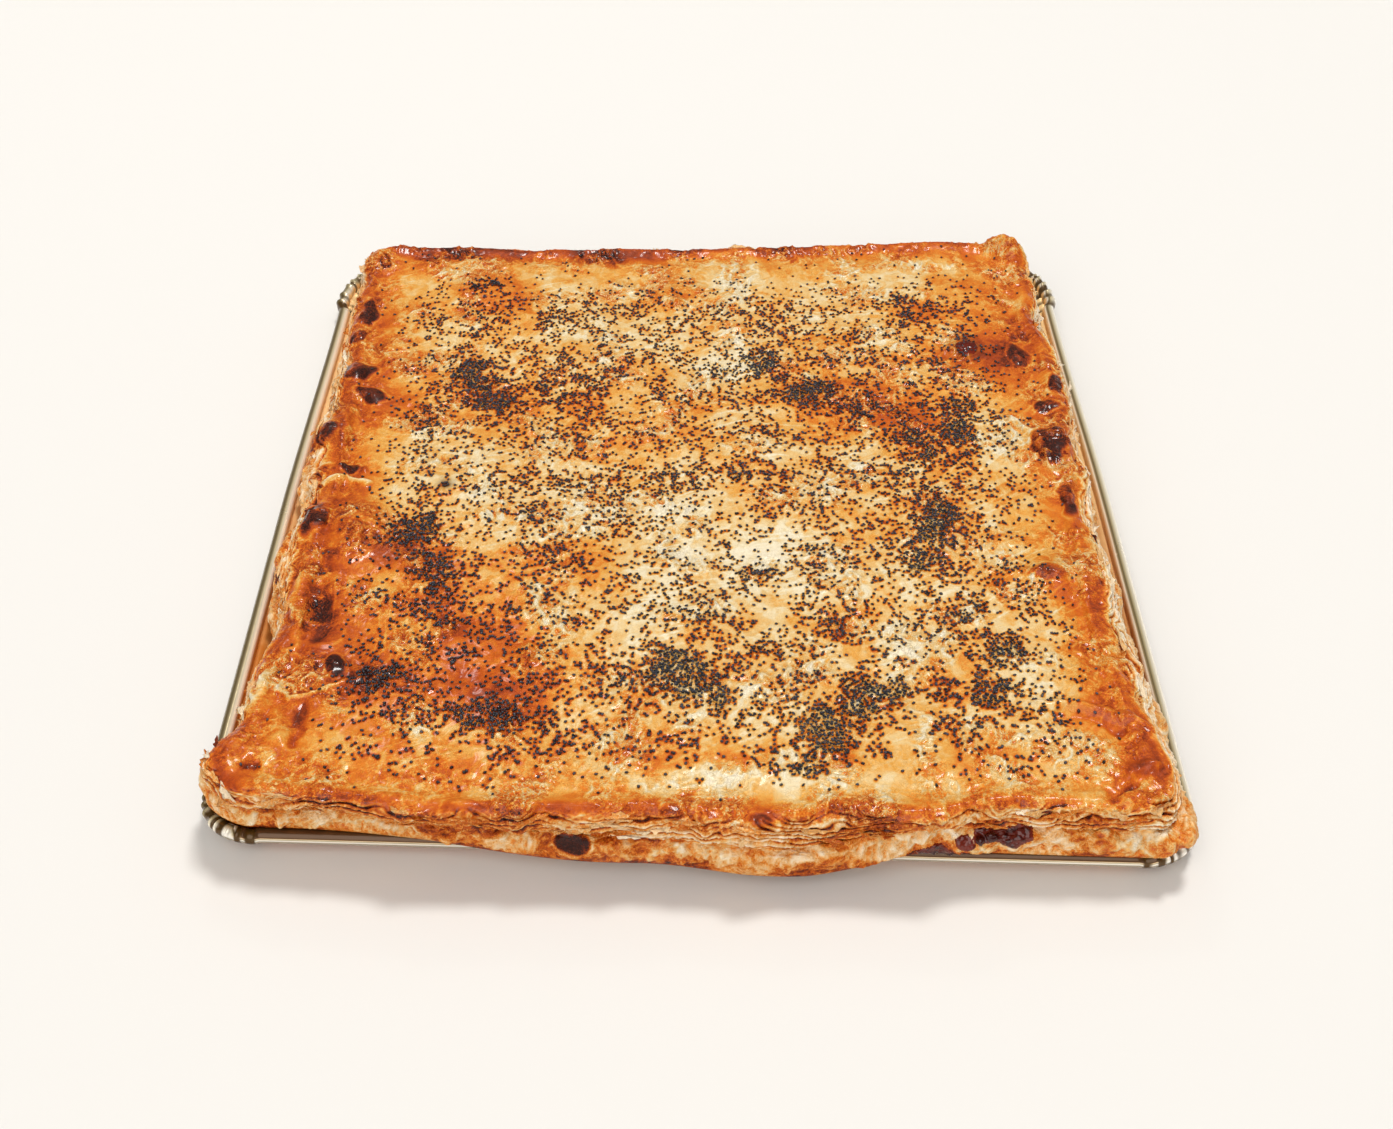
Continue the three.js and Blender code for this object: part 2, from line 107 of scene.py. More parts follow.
class Noise:
    """Seeded gradient noise: random slopes on a cubic lattice, blended by a quintic curve."""

    ENTRIES = 512
    GAIN = 1.6
    APART = 40.0  # how far apart the three noises of a vector are read
    SWELL = 1.7
    THIN = 4.5
    OFF_CENTRE = 0.45  # how far a ball may lie from the middle of its cell
    SMALLEST = 0.45  # the smallest ball, as a share of the largest

    def __init__(self, seed: int) -> None:
        """Draws the lattice's slopes and their order from the seed."""
        draw = np.random.default_rng(seed)
        slopes = draw.normal(size=(self.ENTRIES, 3))
        self.slopes = unit(slopes).astype(np.float32)
        self.order = draw.permutation(self.ENTRIES)

    def at(self, points: Array, size: Size) -> Array:
        """The blend, at each point, of the eight lattice slopes round it, each times the offset from it.

        Args:
            points: x, y and z on the last axis.
            size: the lattice's spacing, in the points' own unit, one for all axes or one for each.

        Returns:
            Noise of about -1 to 1 at each point.
        """
        scaled = points / np.asarray(size, float)
        cell = np.floor(scaled).astype(np.int64)
        inside = (scaled - cell).astype(np.float32)
        fade = inside**3 * (inside * (inside * 6.0 - 15.0) + 10.0)
        total = np.zeros(points.shape[:-1], np.float32)
        for i in range(2):
            first = self.order[(cell[..., 0] + i) % self.ENTRIES]
            for j in range(2):
                second = self.order[(first + cell[..., 1] + j) % self.ENTRIES]
                for k in range(2):
                    key = self.order[(second + cell[..., 2] + k) % self.ENTRIES]
                    corner = np.array((i, j, k), np.float32)
                    weight = np.prod(np.abs(1.0 - corner - fade), axis=-1)
                    total += weight * np.einsum("...i,...i", self.slopes[key], inside - corner)
        return self.GAIN * total.astype(float)

    def layers(self, points: Array, layers: Layers) -> Array:
        """The sum of several noises, each read at a place of its own and times its own amount."""
        return sum(amount * self.at(points + shift, size) for amount, shift, size in layers)

    def three(self, points: Array, size: float) -> Array:
        """Three noises at each point, as a vector that moves it."""
        return np.stack([self.at(points + self.APART * axis, size) for axis in range(3)], axis=-1)

    def creases(self, points: Array, size: Size) -> Array:
        """Rounded swells parted by creases: the noise without its sign, 0 in them and up to 1 between."""
        return np.minimum(np.abs(self.at(points, size)) * self.SWELL, 1.0)

    def crests(self, points: Array, size: Size) -> Array:
        """A net of thin raised lines, 1 where the noise crosses its middle and 0 close by."""
        return np.maximum(1.0 - np.abs(self.at(points, size)) * self.THIN, 0.0)

    def domes(self, points: Array, pitch: float, radius: float, chance: float) -> Array:
        """Scattered round domes: cubic cells each hold at most one ball, and a point inside a ball
        rises by 1 - (distance / radius)^2, as the surface swells over a bubble.

        Args:
            points: x, y and z on the last axis.
            pitch: the size of a cell.
            radius: the largest ball's radius, at most 0.55 of the pitch.
            chance: the share of cells that hold a ball.

        Returns:
            0 outside every dome, up to 1 at the top of the highest.
        """
        corner = np.floor(points / pitch - 0.5).astype(np.int64)
        best = np.zeros(points.shape[:-1])
        for offset in np.ndindex(2, 2, 2):
            near = corner + np.array(offset)
            key = np.zeros(points.shape[:-1], np.int64)
            for axis in range(3):
                key = self.order[(key + near[..., axis]) % self.ENTRIES]
            centre = (near + 0.5 + self.OFF_CENTRE * self.slopes[key]) * pitch
            share, other_share = [self.order[(key + step) % self.ENTRIES] / self.ENTRIES for step in (7, 31)]
            size = radius * (self.SMALLEST + (1.0 - self.SMALLEST) * other_share)
            distance = np.linalg.norm(points - centre, axis=-1) / size
            dome = np.clip(1.0 - distance**2, 0.0, 1.0)
            best = np.maximum(best, np.where(share < chance, dome, 0.0))
        return best


# ---- plain records


@dataclass(frozen=True)
class Lump:
    """A swelling of the parcel's outline: its middle and half length along an edge, and how far out."""

    at: float
    reach: float
    out: float


@dataclass(frozen=True)
class TopLump:
    """A blister or lifted fold of the top sheet: its middle, its half sizes and its height."""

    x: float
    y: float
    across: float
    along: float
    high: float


@dataclass(frozen=True)
class Spot:
    """A place on the top that is browner or paler than round it, as an ellipse in plan."""

    x: float
    y: float
    across: float
    along: float
    amount: float
    turn: float = 0.0

    def reach(self, x: Array, y: Array) -> Array:
        """The ellipse's own distance squared turned into a soft hill, exp(-distance^2).

        Args:
            x: where it is read, across.
            y: where it is read, along.

        Returns:
            1 at the spot's middle, fading outwards.
        """
        cosine = math.cos(math.radians(self.turn))
        sine = math.sin(math.radians(self.turn))
        away_x = x - self.x
        away_y = y - self.y
        first = (away_x * cosine + away_y * sine) / self.across
        second = (away_y * cosine - away_x * sine) / self.along
        return np.exp(-(first**2 + second**2))


@dataclass(frozen=True)
class Blister:
    """A knob of crust, with its place in space, its half sizes, how far it swells and how it baked."""

    x: float
    y: float
    z: float
    across: float
    along: float
    tall: float
    out: float
    bake: float
    char: float

    def reach(self, points: Array) -> Array:
        """A rounded bump of the ellipsoid's own distance: 1 in its middle, and 0 outside it."""
        offset = (points - (self.x, self.y, self.z)) / (self.across, self.along, self.tall)
        return bump(np.linalg.norm(offset, axis=-1), 0.0, 1.0)


@dataclass(frozen=True)
class Fold:
    """A crest or a valley of the top sheet along a line of places: its half width, how high it stands
    and how much more or less it baked."""

    line: tuple[tuple[float, float], ...]
    wide: float
    high: float
    bake: float

    def reach(self, x: Array, y: Array) -> Array:
        """A rounded bump of the distance to the nearest stretch of the line. The nearest place on a
        stretch is its start plus the share of it that the point's projection covers, from 0 to 1.

        Args:
            x: where it is read, across.
            y: where it is read, along.

        Returns:
            1 on the line, and 0 from the half width away.
        """
        distance = np.full(x.shape, np.inf)
        for (start_x, start_y), (end_x, end_y) in zip(self.line[:-1], self.line[1:]):
            run_x, run_y = end_x - start_x, end_y - start_y
            share = ((x - start_x) * run_x + (y - start_y) * run_y) / (run_x**2 + run_y**2)
            share = np.clip(share, 0.0, 1.0)
            away = np.hypot(x - start_x - share * run_x, y - start_y - share * run_y)
            distance = np.minimum(distance, away)
        return bump(distance, 0.0, self.wide)


class Slot(Enum):
    """The record's material slots."""

    TRAY = "tray_foil"
    PAPER = "paper"
    CRUST = "pastry_crust"
    SEEDS = "seeds"
    JUICE = "burnt_juice"


# ---- meshes


def frame_shift() -> float:
    """How far the frame's origin lies in front of the point under the tray's middle: the tray's back edge
    in the frame less the same edge in the plan."""
    plan = TrayPlan()
    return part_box("foil_tray")[1].y / MM - plan.end_at(np.array(plan.corner_x), False).item()


def add_mesh(name: str, points: Array, faces: Array, normals: Array | None = None,
             closing: tuple[Array, ...] = (), **attributes: Array) -> Piece:
    """Makes an object of points in millimetres, smooth shaded.

    Args:
        name: the piece's name.
        points: one row for each vertex.
        faces: a row of vertex numbers for each face, counter-clockwise seen from outside.
        normals: the vertices' own normals, where neighbouring pieces have to shade as one.
        closing: rings of vertex numbers, each closed with one flat face.
        **attributes: one number for each vertex, by name, for the material to read.

    Returns:
        The new object, linked to the scene.
    """
    mesh = bpy.data.meshes.new(name)
    shifted = (points + (0.0, frame_shift(), 0.0)) * MM
    sizes = [faces.shape[1]] * len(faces) + [len(ring) for ring in closing]
    starts = np.concatenate([[0], np.cumsum(sizes)])
    mesh.vertices.add(len(points))
    mesh.loops.add(int(starts[-1]))
    mesh.polygons.add(len(sizes))
    mesh.vertices.foreach_set("co", shifted.astype(np.float32).ravel())
    mesh.loops.foreach_set("vertex_index", np.concatenate([faces.ravel(), *closing]).astype(np.int32))
    mesh.polygons.foreach_set("loop_start", starts[:-1].astype(np.int32))
    mesh.update(calc_edges=True)
    mesh.shade_smooth()
    for label, values in attributes.items():
        layer = mesh.attributes.new(label, "FLOAT", "POINT")
        layer.data.foreach_set("value", np.asarray(values, np.float32))
    if normals is not None:
        mesh.normals_split_custom_set_from_vertices(normals.tolist())
    piece = bpy.data.objects.new(name, mesh)
    bpy.context.scene.collection.objects.link(piece)
    return piece


def vertex_normals(points: Array, quads: Array) -> Array:
    """The normal at each vertex: the sum of its faces' normals, each the cross product of the diagonals.

    Args:
        points: one row for each vertex.
        quads: four vertex numbers for each face.

    Returns:
        One unit vector for each vertex.
    """
    corners = points[quads]
    across = np.cross(corners[:, 2] - corners[:, 0], corners[:, 3] - corners[:, 1])
    total = np.zeros_like(points)
    for corner in range(4):
        for axis in range(3):
            total[:, axis] += np.bincount(quads[:, corner], across[:, axis], len(points))
    return unit(total)


def grid_quads(numbers: Array, closed: bool = False) -> Array:
    """The faces of a grid of vertex numbers, each row of it joined to the next.

    Args:
        numbers: vertex numbers, rows by columns.
        closed: whether the last column joins the first.

    Returns:
        Four vertex numbers for each face, counter-clockwise where columns run right and rows run up.
    """
    ahead = np.roll(numbers, -1, axis=1) if closed else numbers[:, 1:]
    behind = numbers if closed else numbers[:, :-1]
    cells = np.stack([behind[:-1], ahead[:-1], ahead[1:], behind[1:]], axis=-1)
    return cells.reshape(-1, 4)


def grid_rim(numbers: Array) -> Array:
    """The vertex numbers round a grid, counter-clockwise from its first, each once."""
    return np.concatenate([numbers[0, :-1], numbers[:-1, -1], numbers[-1, :0:-1], numbers[:0:-1, 0]])


def sheet_faces(rows: int, columns: int) -> Array:
    """The faces of a thin sheet: an upper grid, a lower one whose points follow it, and a wall round them.

    Args:
        rows: the grid's rows of points.
        columns: the grid's columns of points.

    Returns:
        Four vertex numbers for each face.
    """
    numbers = np.arange(rows * columns).reshape(rows, columns)
    upper = grid_quads(numbers)
    rim = grid_rim(numbers)
    ahead = np.roll(rim, -1)
    wall = np.stack([rim + numbers.size, ahead + numbers.size, ahead, rim], axis=-1)
    return np.concatenate([upper, upper[:, ::-1] + numbers.size, wall])


def dress(piece: Piece, material: Material, slot: Slot, *nodes: str) -> None:
    """Gives a piece its material and its body, hides the nodes that it stands for, and reports it.

    Args:
        piece: the object to dress.
        material: its finish.
        slot: the record's slot for that finish; not used.
        *nodes: CAD nodes that the piece replaces.
    """
    piece.data.materials.append(material)
    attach(piece, BODY)
    if nodes:
        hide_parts(*nodes)
    triangles = sum(len(face.vertices) - 2 for face in piece.data.polygons)
    LOG.info("%s: %d triangles", piece.name, triangles)


# ---- shader nodes


class NodeDesk:
    """Lays nodes out in one tree and joins them, so that a material reads as a short list of steps."""

    MIX_INPUTS = (0, 6, 7)  # the factor and the two colours of a mix node
    MIX_OUTPUT = 2

    def __init__(self, tree: bpy.types.NodeTree) -> None:
        """Keeps the tree that the nodes go into."""
        self.tree = tree

    def node(self, kind: str, inputs: dict | None = None, **settings: object) -> bpy.types.Node:
        """Adds a node, sets its properties, and fills or joins its inputs.

        Args:
            kind: the node's type.
            inputs: values or other nodes' sockets, by input name or number.
            **settings: the node's own properties.

        Returns:
            The new node.
        """
        node = self.tree.nodes.new(kind)
        for key, value in settings.items():
            setattr(node, key, value)
        self.fill(node, inputs or {})
        return node

    def fill(self, node: bpy.types.Node, inputs: dict) -> None:
        """Joins sockets to a node's inputs, and sets those that are given as plain values.

        Args:
            node: the node whose inputs they are.
            inputs: values or other nodes' sockets, by input name or number.
        """
        for key, value in inputs.items():
            if isinstance(value, Socket):
                self.tree.links.new(value, node.inputs[key])
            else:
                node.inputs[key].default_value = value

    def maths(self, operation: str, *values: object, clamp: bool = False) -> Socket:
        """One arithmetic step, as Blender names it, on numbers or sockets; a clamp keeps it in 0 to 1."""
        inputs = dict(enumerate(values))
        return self.node("ShaderNodeMath", inputs, operation=operation, use_clamp=clamp).outputs[0]

    def noise(self, vector: Socket, size: object, detail: float = 2.0,
              warp: float = 0.0) -> Socket:
        """A noise texture of 0 to 1: features `size` metres across, `detail` finer layers, bent by `warp`."""
        inputs = {"Vector": vector, "Scale": self.maths("DIVIDE", 1.0, size), "Detail": detail,
                  "Distortion": warp}
        return self.node("ShaderNodeTexNoise", inputs).outputs[0]

    def ramp(self, factor: Socket, stops: tuple) -> Socket:
        """A colour ramp.

        Args:
            factor: where along the ramp, from 0 to 1.
            stops: pairs of place and colour, the colour as three display values of 0 to 255.

        Returns:
            The socket with the colour.
        """
        node = self.node("ShaderNodeValToRGB", {0: factor})
        elements = node.color_ramp.elements
        while len(elements) < len(stops):
            elements.new(0.5)
        for element, (place, colour) in zip(elements, stops):
            element.position = place
            element.color = (*linear(colour), 1.0)
        return node.outputs[0]

    def mix(self, factor: object, first: object, second: object,
            blend: str = "MIX") -> Socket:
        """Mixes two colours.

        Args:
            factor: how much of the second, from 0 to 1.
            first: the first colour or its socket.
            second: the second colour or its socket.
            blend: how they are mixed, as Blender names it.

        Returns:
            The socket with the mixed colour.
        """
        places = dict(zip(self.MIX_INPUTS, (factor, first, second)))
        node = self.node("ShaderNodeMix", data_type="RGBA", blend_type=blend)
        self.fill(node, places)
        return node.outputs[self.MIX_OUTPUT]

    def bumped(self, height: Socket, distance: float,
               strength: float) -> Socket:
        """The normal, turned as by a fine relief where a height of 1 stands `distance` metres out."""
        inputs = {"Strength": strength, "Distance": distance, "Height": height}
        return self.node("ShaderNodeBump", inputs).outputs[0]

    def group(self, tree: bpy.types.NodeTree, inputs: dict) -> bpy.types.Node:
        """Adds a shared group of nodes, with its named inputs filled or joined."""
        return self.node("ShaderNodeGroup", inputs, node_tree=tree)

    def attribute(self, name: str) -> Socket:
        """The socket with a number that the mesh carries at each vertex."""
        return self.node("ShaderNodeAttribute", attribute_name=name).outputs["Fac"]

    def place(self) -> Socket:
        """The socket with the point's place in the frame, in metres."""
        return self.node("ShaderNodeTexCoord").outputs["Object"]


def linear(colour: Triple) -> tuple[float, ...]:
    """Turns display values of 0 to 255 into light: (value + 0.055) / 1.055 to the power 2.4, or
    value / 12.92 near black.

    Args:
        colour: red, green and blue as shown on a display.

    Returns:
        The same colour as shares of light.
    """
    shares = [value / 255.0 for value in colour]
    near_black = 0.04045
    return tuple(v / 12.92 if v <= near_black else ((v + 0.055) / 1.055) ** 2.4 for v in shares)


def new_group(name: str, inputs: dict[str, float], outputs: tuple[str, ...]) -> tuple:
    """Starts a shader node group with named inputs and outputs.

    Args:
        name: the group's name.
        inputs: each input's name and starting value; `Vector` takes coordinates.
        outputs: the names of the numbers that it puts out.

    Returns:
        The group, a desk for its tree, its input node and its output node.
    """
    group = bpy.data.node_groups.new(name, "ShaderNodeTree")
    for label, value in inputs.items():
        kind = "NodeSocketVector" if label == "Vector" else "NodeSocketFloat"
        socket = group.interface.new_socket(label, in_out="INPUT", socket_type=kind)
        if kind == "NodeSocketFloat":
            socket.default_value = value
    for label in outputs:
        group.interface.new_socket(label, in_out="OUTPUT", socket_type="NodeSocketFloat")
    desk = NodeDesk(group)
    return group, desk, desk.node("NodeGroupInput"), desk.node("NodeGroupOutput")


class Effects:
    """The shader effects that more than one finish uses, each built once as a node group."""

    def __init__(self) -> None:
        """Builds the groups."""
        self.mottle = self._mottle()
        self.wrinkles = self._wrinkles()

    @staticmethod
    def _mottle() -> bpy.types.NodeTree:
        """Unevenness: a value pushed up and down by noise at two sizes.

        Returns:
            The group, from Vector, Value, Size and Amount to Value.
        """
        inputs = {"Vector": 0.0, "Value": 0.5, "Size": 0.004, "Amount": 0.2}
        group, desk, given, out = new_group("mottle", inputs, ("Value",))
        fine_share, fine_amount = 0.28, 0.7
        coarse = desk.noise(given.outputs["Vector"], given.outputs["Size"], 3.0, 0.6)
        fine_size = desk.maths("MULTIPLY", given.outputs["Size"], fine_share)
        fine = desk.noise(given.outputs["Vector"], fine_size, 2.0)
        both = desk.maths("ADD", coarse, desk.maths("MULTIPLY", fine, fine_amount))
        middle = 0.5 + 0.5 * fine_amount
        swing = desk.maths("MULTIPLY", desk.maths("SUBTRACT", both, middle), given.outputs["Amount"])
        desk.fill(out, {"Value": desk.maths("ADD", given.outputs["Value"], swing)})
        return group

    @staticmethod
    def _wrinkles() -> bpy.types.NodeTree:
        """Fine crinkles: swells parted by creases where one warped noise crosses its middle, crossed by
        thin crests where another does, and by dark lines where a third does, with grain on top.

        Returns:
            The group, from Vector, Size and Grain to Height, Crest and Line.
        """
        inputs = {"Vector": 0.0, "Size": 0.002, "Grain": 0.3}
        group, desk, given, out = new_group("wrinkles", inputs, ("Height", "Crest", "Line"))
        place, size = given.outputs["Vector"], given.outputs["Size"]

        swell_share, crest_share, grain_share = 0.6, 0.5, 0.25

        def off_middle(share: float, warp: float) -> Socket:
            """How far a warped noise, its features a share of the size across, lies from its middle."""
            width = desk.maths("MULTIPLY", size, share)
            return desk.maths("ABSOLUTE", desk.maths("SUBTRACT", desk.noise(place, width, 0.6, warp), 0.5))

        def net(share: float, warp: float, thin: float) -> Socket:
            """Lines where a warped noise crosses its middle, the thinner the larger `thin` is."""
            away = desk.maths("MULTIPLY", off_middle(share, warp), thin)
            return desk.maths("SUBTRACT", 1.0, away, clamp=True)

        creased = desk.maths("MULTIPLY", off_middle(1.0, 1.2), 5.0, clamp=True)
        crest, line = net(0.8, 1.0, 14.0), net(1.3, 1.8, 18.0)
        grain = desk.noise(place, desk.maths("MULTIPLY", size, grain_share), 1.0)
        height = desk.maths("ADD", desk.maths("MULTIPLY", creased, swell_share),
                            desk.maths("MULTIPLY", crest, crest_share))
        height = desk.maths("MULTIPLY_ADD", grain, given.outputs["Grain"], height)
        desk.fill(out, {"Height": height, "Crest": crest, "Line": line})
        return group


def new_material(name: str) -> tuple[Material, NodeDesk, bpy.types.Node]:
    """Starts a material.

    Args:
        name: the material's name.

    Returns:
        The material, a desk for its tree, and its shader.
    """
    material = bpy.data.materials.new(name)
    material.use_nodes = True
    desk = NodeDesk(material.node_tree)
    shader = next(node for node in desk.tree.nodes if node.type == "BSDF_PRINCIPLED")
    return material, desk, shader


@dataclass(frozen=True)
class CrustFinish:
    """Baked puff pastry: egg-washed where `dry` is 0 and bare flaky layers where it is 1."""

    glazed: tuple = (
        (0.00, (250, 235, 204)),
        (0.12, (244, 226, 186)),
        (0.24, (238, 201, 136)),
        (0.36, (235, 170, 76)),
        (0.48, (227, 129, 32)),
        (0.60, (211, 98, 15)),
        (0.73, (178, 69, 12)),
        (0.85, (126, 47, 15)),
        (1.00, (50, 18, 11)),
    )
    bare: tuple = (
        (0.00, (253, 236, 210)),
        (0.18, (249, 217, 174)),
        (0.36, (239, 183, 114)),
        (0.52, (228, 140, 50)),
        (0.68, (200, 92, 13)),
        (0.84, (146, 54, 6)),
        (1.00, (58, 21, 11)),
    )
    burnt: Triple = (52, 21, 14)
    mottle_size: float = 0.0024
    mottle_amount: float = 0.12
    wrinkle_size: float = 0.0016
    grain: float = 0.35
    bump_depth: float = 0.00045
    bump_strength: float = 0.8
    smooth_relief: float = 0.25
    rough_relief: float = 0.9
    lines_from: float = 0.24
    lines_rise: float = 5.0
    crest_pallor_and_highlight: float = 0.36
    line_bake: float = 0.16
    lip_shift: float = 0.68
    split_width: float = 4.5
    split_shade: float = 0.2
    split_depth: float = 4.0
    lip_pallor_and_highlight: float = 0.16
    valley_shade: float = 0.88
    relief_shade: float = 0.22
    glazed_matt: float = 0.46
    bare_matt: float = 0.16
    coat: float = 0.36
    coat_matt: float = 0.16
    bare_coat_loss: float = 0.7
    specular: float = 0.14

    def build(self, effects: Effects) -> Material:
        """Makes the material from the crust's own attributes.

        Args:
            effects: the shared node groups.

        Returns:
            The crust's material.
        """
        material, desk, shader = new_material("baked_crust")
        place = desk.place()
        dry = desk.attribute("dry")
        mottled = desk.group(effects.mottle, {"Vector": place, "Value": desk.attribute("bake"),
                                              "Size": self.mottle_size, "Amount": self.mottle_amount})
        creases = desk.group(effects.wrinkles, {"Vector": place, "Size": self.wrinkle_size,
                                                "Grain": self.grain})
        rough = desk.attribute("rough")
        # Painted shade darkens the split line between leaves; the line along each leaf's lip is paled, partly
        # a painted highlight.
        split, lip = self._line(desk, 0.0), self._line(desk, self.lip_shift)
        edges = desk.maths("SUBTRACT", desk.maths("MULTIPLY", split, self.split_shade),
                           desk.maths("MULTIPLY", lip, self.lip_pallor_and_highlight))
        relief = desk.maths("MULTIPLY_ADD", edges, -self.split_depth, creases.outputs["Height"])
        depth = desk.maths("MULTIPLY_ADD", rough, self.rough_relief, self.smooth_relief)
        relief = desk.maths("MULTIPLY", relief, depth)
        browned = desk.maths("SUBTRACT", mottled.outputs[0], self.lines_from)
        browned = desk.maths("MULTIPLY", browned, self.lines_rise, clamp=True)
        browned = desk.maths("MULTIPLY", browned, rough)
        # The wrinkles' dark lines are browned; their crests are paled, partly as thinner glaze and partly as
        # a painted highlight.
        lines = desk.maths("SUBTRACT", desk.maths("MULTIPLY", creases.outputs["Line"], self.line_bake),
                           desk.maths("MULTIPLY", creases.outputs["Crest"], self.crest_pallor_and_highlight))
        bake = desk.maths("MULTIPLY_ADD", lines, browned, mottled.outputs[0])
        bake = desk.maths("ADD", edges, bake, clamp=True)
        colour = desk.mix(dry, desk.ramp(bake, self.glazed), desk.ramp(bake, self.bare))
        colour = desk.mix(desk.attribute("char"), colour, (*linear(self.burnt), 1.0))
        # Painted shade: the colour is multiplied by a grey that darkens where the relief is low, in the
        # wrinkles' creases and at the splits between leaves.
        shade = desk.maths("MULTIPLY_ADD", relief, self.relief_shade, self.valley_shade, clamp=True)
        grey = desk.node("ShaderNodeCombineColor", {0: shade, 1: shade, 2: shade}).outputs[0]
        gloss = desk.maths("MULTIPLY", desk.maths("MULTIPLY_ADD", dry, -self.bare_coat_loss, 1.0),
                           desk.maths("MULTIPLY_ADD", bake, self.coat, 0.5 * self.coat))
        desk.fill(shader, {
            "Base Color": desk.mix(1.0, colour, grey, "MULTIPLY"),
            "Normal": desk.bumped(relief, self.bump_depth, self.bump_strength),
            "Roughness": desk.maths("MULTIPLY_ADD", dry, self.bare_matt, self.glazed_matt),
            "Coat Weight": gloss,
            "Coat Roughness": self.coat_matt,
            "Specular IOR Level": self.specular,
        })
        return material

    def _line(self, desk: NodeDesk, shift: float) -> Socket:
        """A thin line along each leaf of the layers: 1 where the leaf's number, moved by `shift`, is
        whole, falling to 0 on both sides.

        Args:
            desk: the desk of the crust's tree.
            shift: how far up the leaf the line lies, as a share of it.

        Returns:
            The socket with the line, times how leafy the place is.
        """
        moved = desk.maths("ADD", desk.attribute("leaf"), shift)
        away = desk.maths("MULTIPLY", desk.maths("PINGPONG", moved, 0.5), self.split_width)
        line = desk.maths("SUBTRACT", 1.0, away, clamp=True)
        return desk.maths("MULTIPLY", line, desk.attribute("leafy"))


@dataclass(frozen=True)
class SeedFinish:
    """Poppy seeds: blue-black, each a little lighter or darker than the next."""

    dark: Triple = (20, 20, 24)
    light: Triple = (86, 88, 98)
    pit_size: float = 0.00025
    pit_depth: float = 0.00006
    pit_strength: float = 0.5
    matt: float = 0.42

    def build(self) -> Material:
        """Makes the material from each seed's own tone."""
        material, desk, shader = new_material("poppy_seed")
        colour = desk.ramp(desk.attribute("tone"), ((0.0, self.dark), (1.0, self.light)))
        pits = desk.noise(desk.place(), self.pit_size, 1.0)
        desk.fill(shader, {"Base Color": colour, "Roughness": self.matt,
                           "Normal": desk.bumped(pits, self.pit_depth, self.pit_strength)})
        return material


@dataclass(frozen=True)
class JuiceFinish:
    """Filling juice that leaked out and burnt: nearly black, purple-red where thin, glossy."""

    thick: Triple = (58, 11, 7)
    thin: Triple = (122, 36, 15)
    pit_size: float = 0.0012
    pit_depth: float = 0.0002
    pit_strength: float = 0.5
    matt: float = 0.24
    coat: float = 0.7
    coat_matt: float = 0.1
    specular: float = 0.15

    def build(self) -> Material:
        """Makes the material from the layer's own thickness."""
        material, desk, shader = new_material("burnt_juice")
        colour = desk.ramp(desk.attribute("depth"), ((0.15, self.thin), (0.7, self.thick)))
        pits = desk.noise(desk.place(), self.pit_size, 2.0)
        desk.fill(shader, {
            "Base Color": colour,
            "Normal": desk.bumped(pits, self.pit_depth, self.pit_strength),
            "Roughness": self.matt,
            "Coat Weight": self.coat,
            "Coat Roughness": self.coat_matt,
            "Specular IOR Level": self.specular,
        })
        return material


@dataclass(frozen=True)
class FoilFinish:
    """Gold-faced foil: warm gold on the border and floor, uneven, and deeper towards the front and the left
    as painted shade and reflection of the pastry; brown in the folds as painted shade. The rolled bead
    shows dark and bright lines of painted reflection and shade, which `band` numbers from 0 to 1."""

    gold: Triple = (255, 222, 158)
    deep: Triple = (206, 124, 42)
    fold_shade_colour: Triple = (86, 60, 22)
    fold_shade_gain: float = 2.8
    fold_shade_start: float = 1.5
    metal: float = 0.3
    mottle_size: float = 0.012
    mottle_amount: float = 0.3
    matt: float = 0.36
    mottle_matt: float = 0.16
    bead_polish: float = 0.16
    ripple_size: float = 0.006
    ripple_depth: float = 0.0004
    ripple_strength: float = 0.35
    # Painted reflections and shade along the bead, from outside in: a grey lower edge, broad pale reflection,
    # a dark olive line, a thin bright line, then gold darkening to brown at the inner end.
    bands: tuple = (
        (0.00, (206, 196, 176)),
        (0.10, (160, 150, 124)),
        (0.15, (255, 250, 240)),
        (0.40, (250, 240, 216)),
        (0.52, (196, 180, 140)),
        (0.60, (112, 96, 62)),
        (0.66, (150, 130, 90)),
        (0.71, (255, 248, 228)),
        (0.84, (232, 196, 138)),
        (0.92, (150, 106, 58)),
        (1.00, (92, 62, 34)),
    )

    def build(self, effects: Effects) -> Material:
        """Makes the material from the tray's own attributes.

        Args:
            effects: the shared node groups.

        Returns:
            The tray's material.
        """
        material, desk, shader = new_material("gold_foil")
        place = desk.place()
        mottled = desk.group(effects.mottle, {"Vector": place, "Value": desk.attribute("tone"),
                                              "Size": self.mottle_size, "Amount": self.mottle_amount})
        # Deeper gold both where the foil is unevenly mottled and where `tone` paints shade and reflection
        # towards the front and the left.
        gold = desk.ramp(mottled.outputs[0], ((0.1, self.deep), (0.9, self.gold)))
        bead = desk.attribute("bead")
        colour = desk.mix(bead, gold, desk.ramp(desk.attribute("band"), self.bands))
        # Painted shade: the foil is darkened towards brown in the folds of the pleats, by how deep each fold
        # is.
        gathered = desk.maths("MULTIPLY_ADD", desk.attribute("gather"), self.fold_shade_gain,
                              -self.fold_shade_start, clamp=True)
        matt = desk.maths("MULTIPLY_ADD", mottled.outputs[0], self.mottle_matt, self.matt)
        ripple = desk.noise(place, self.ripple_size, 2.0)
        desk.fill(shader, {
            "Base Color": desk.mix(gathered, colour, (*linear(self.fold_shade_colour), 1.0)),
            "Normal": desk.bumped(ripple, self.ripple_depth, self.ripple_strength),
            "Metallic": self.metal,
            "Roughness": desk.maths("MULTIPLY_ADD", bead, -self.bead_polish, matt),
        })
        return material


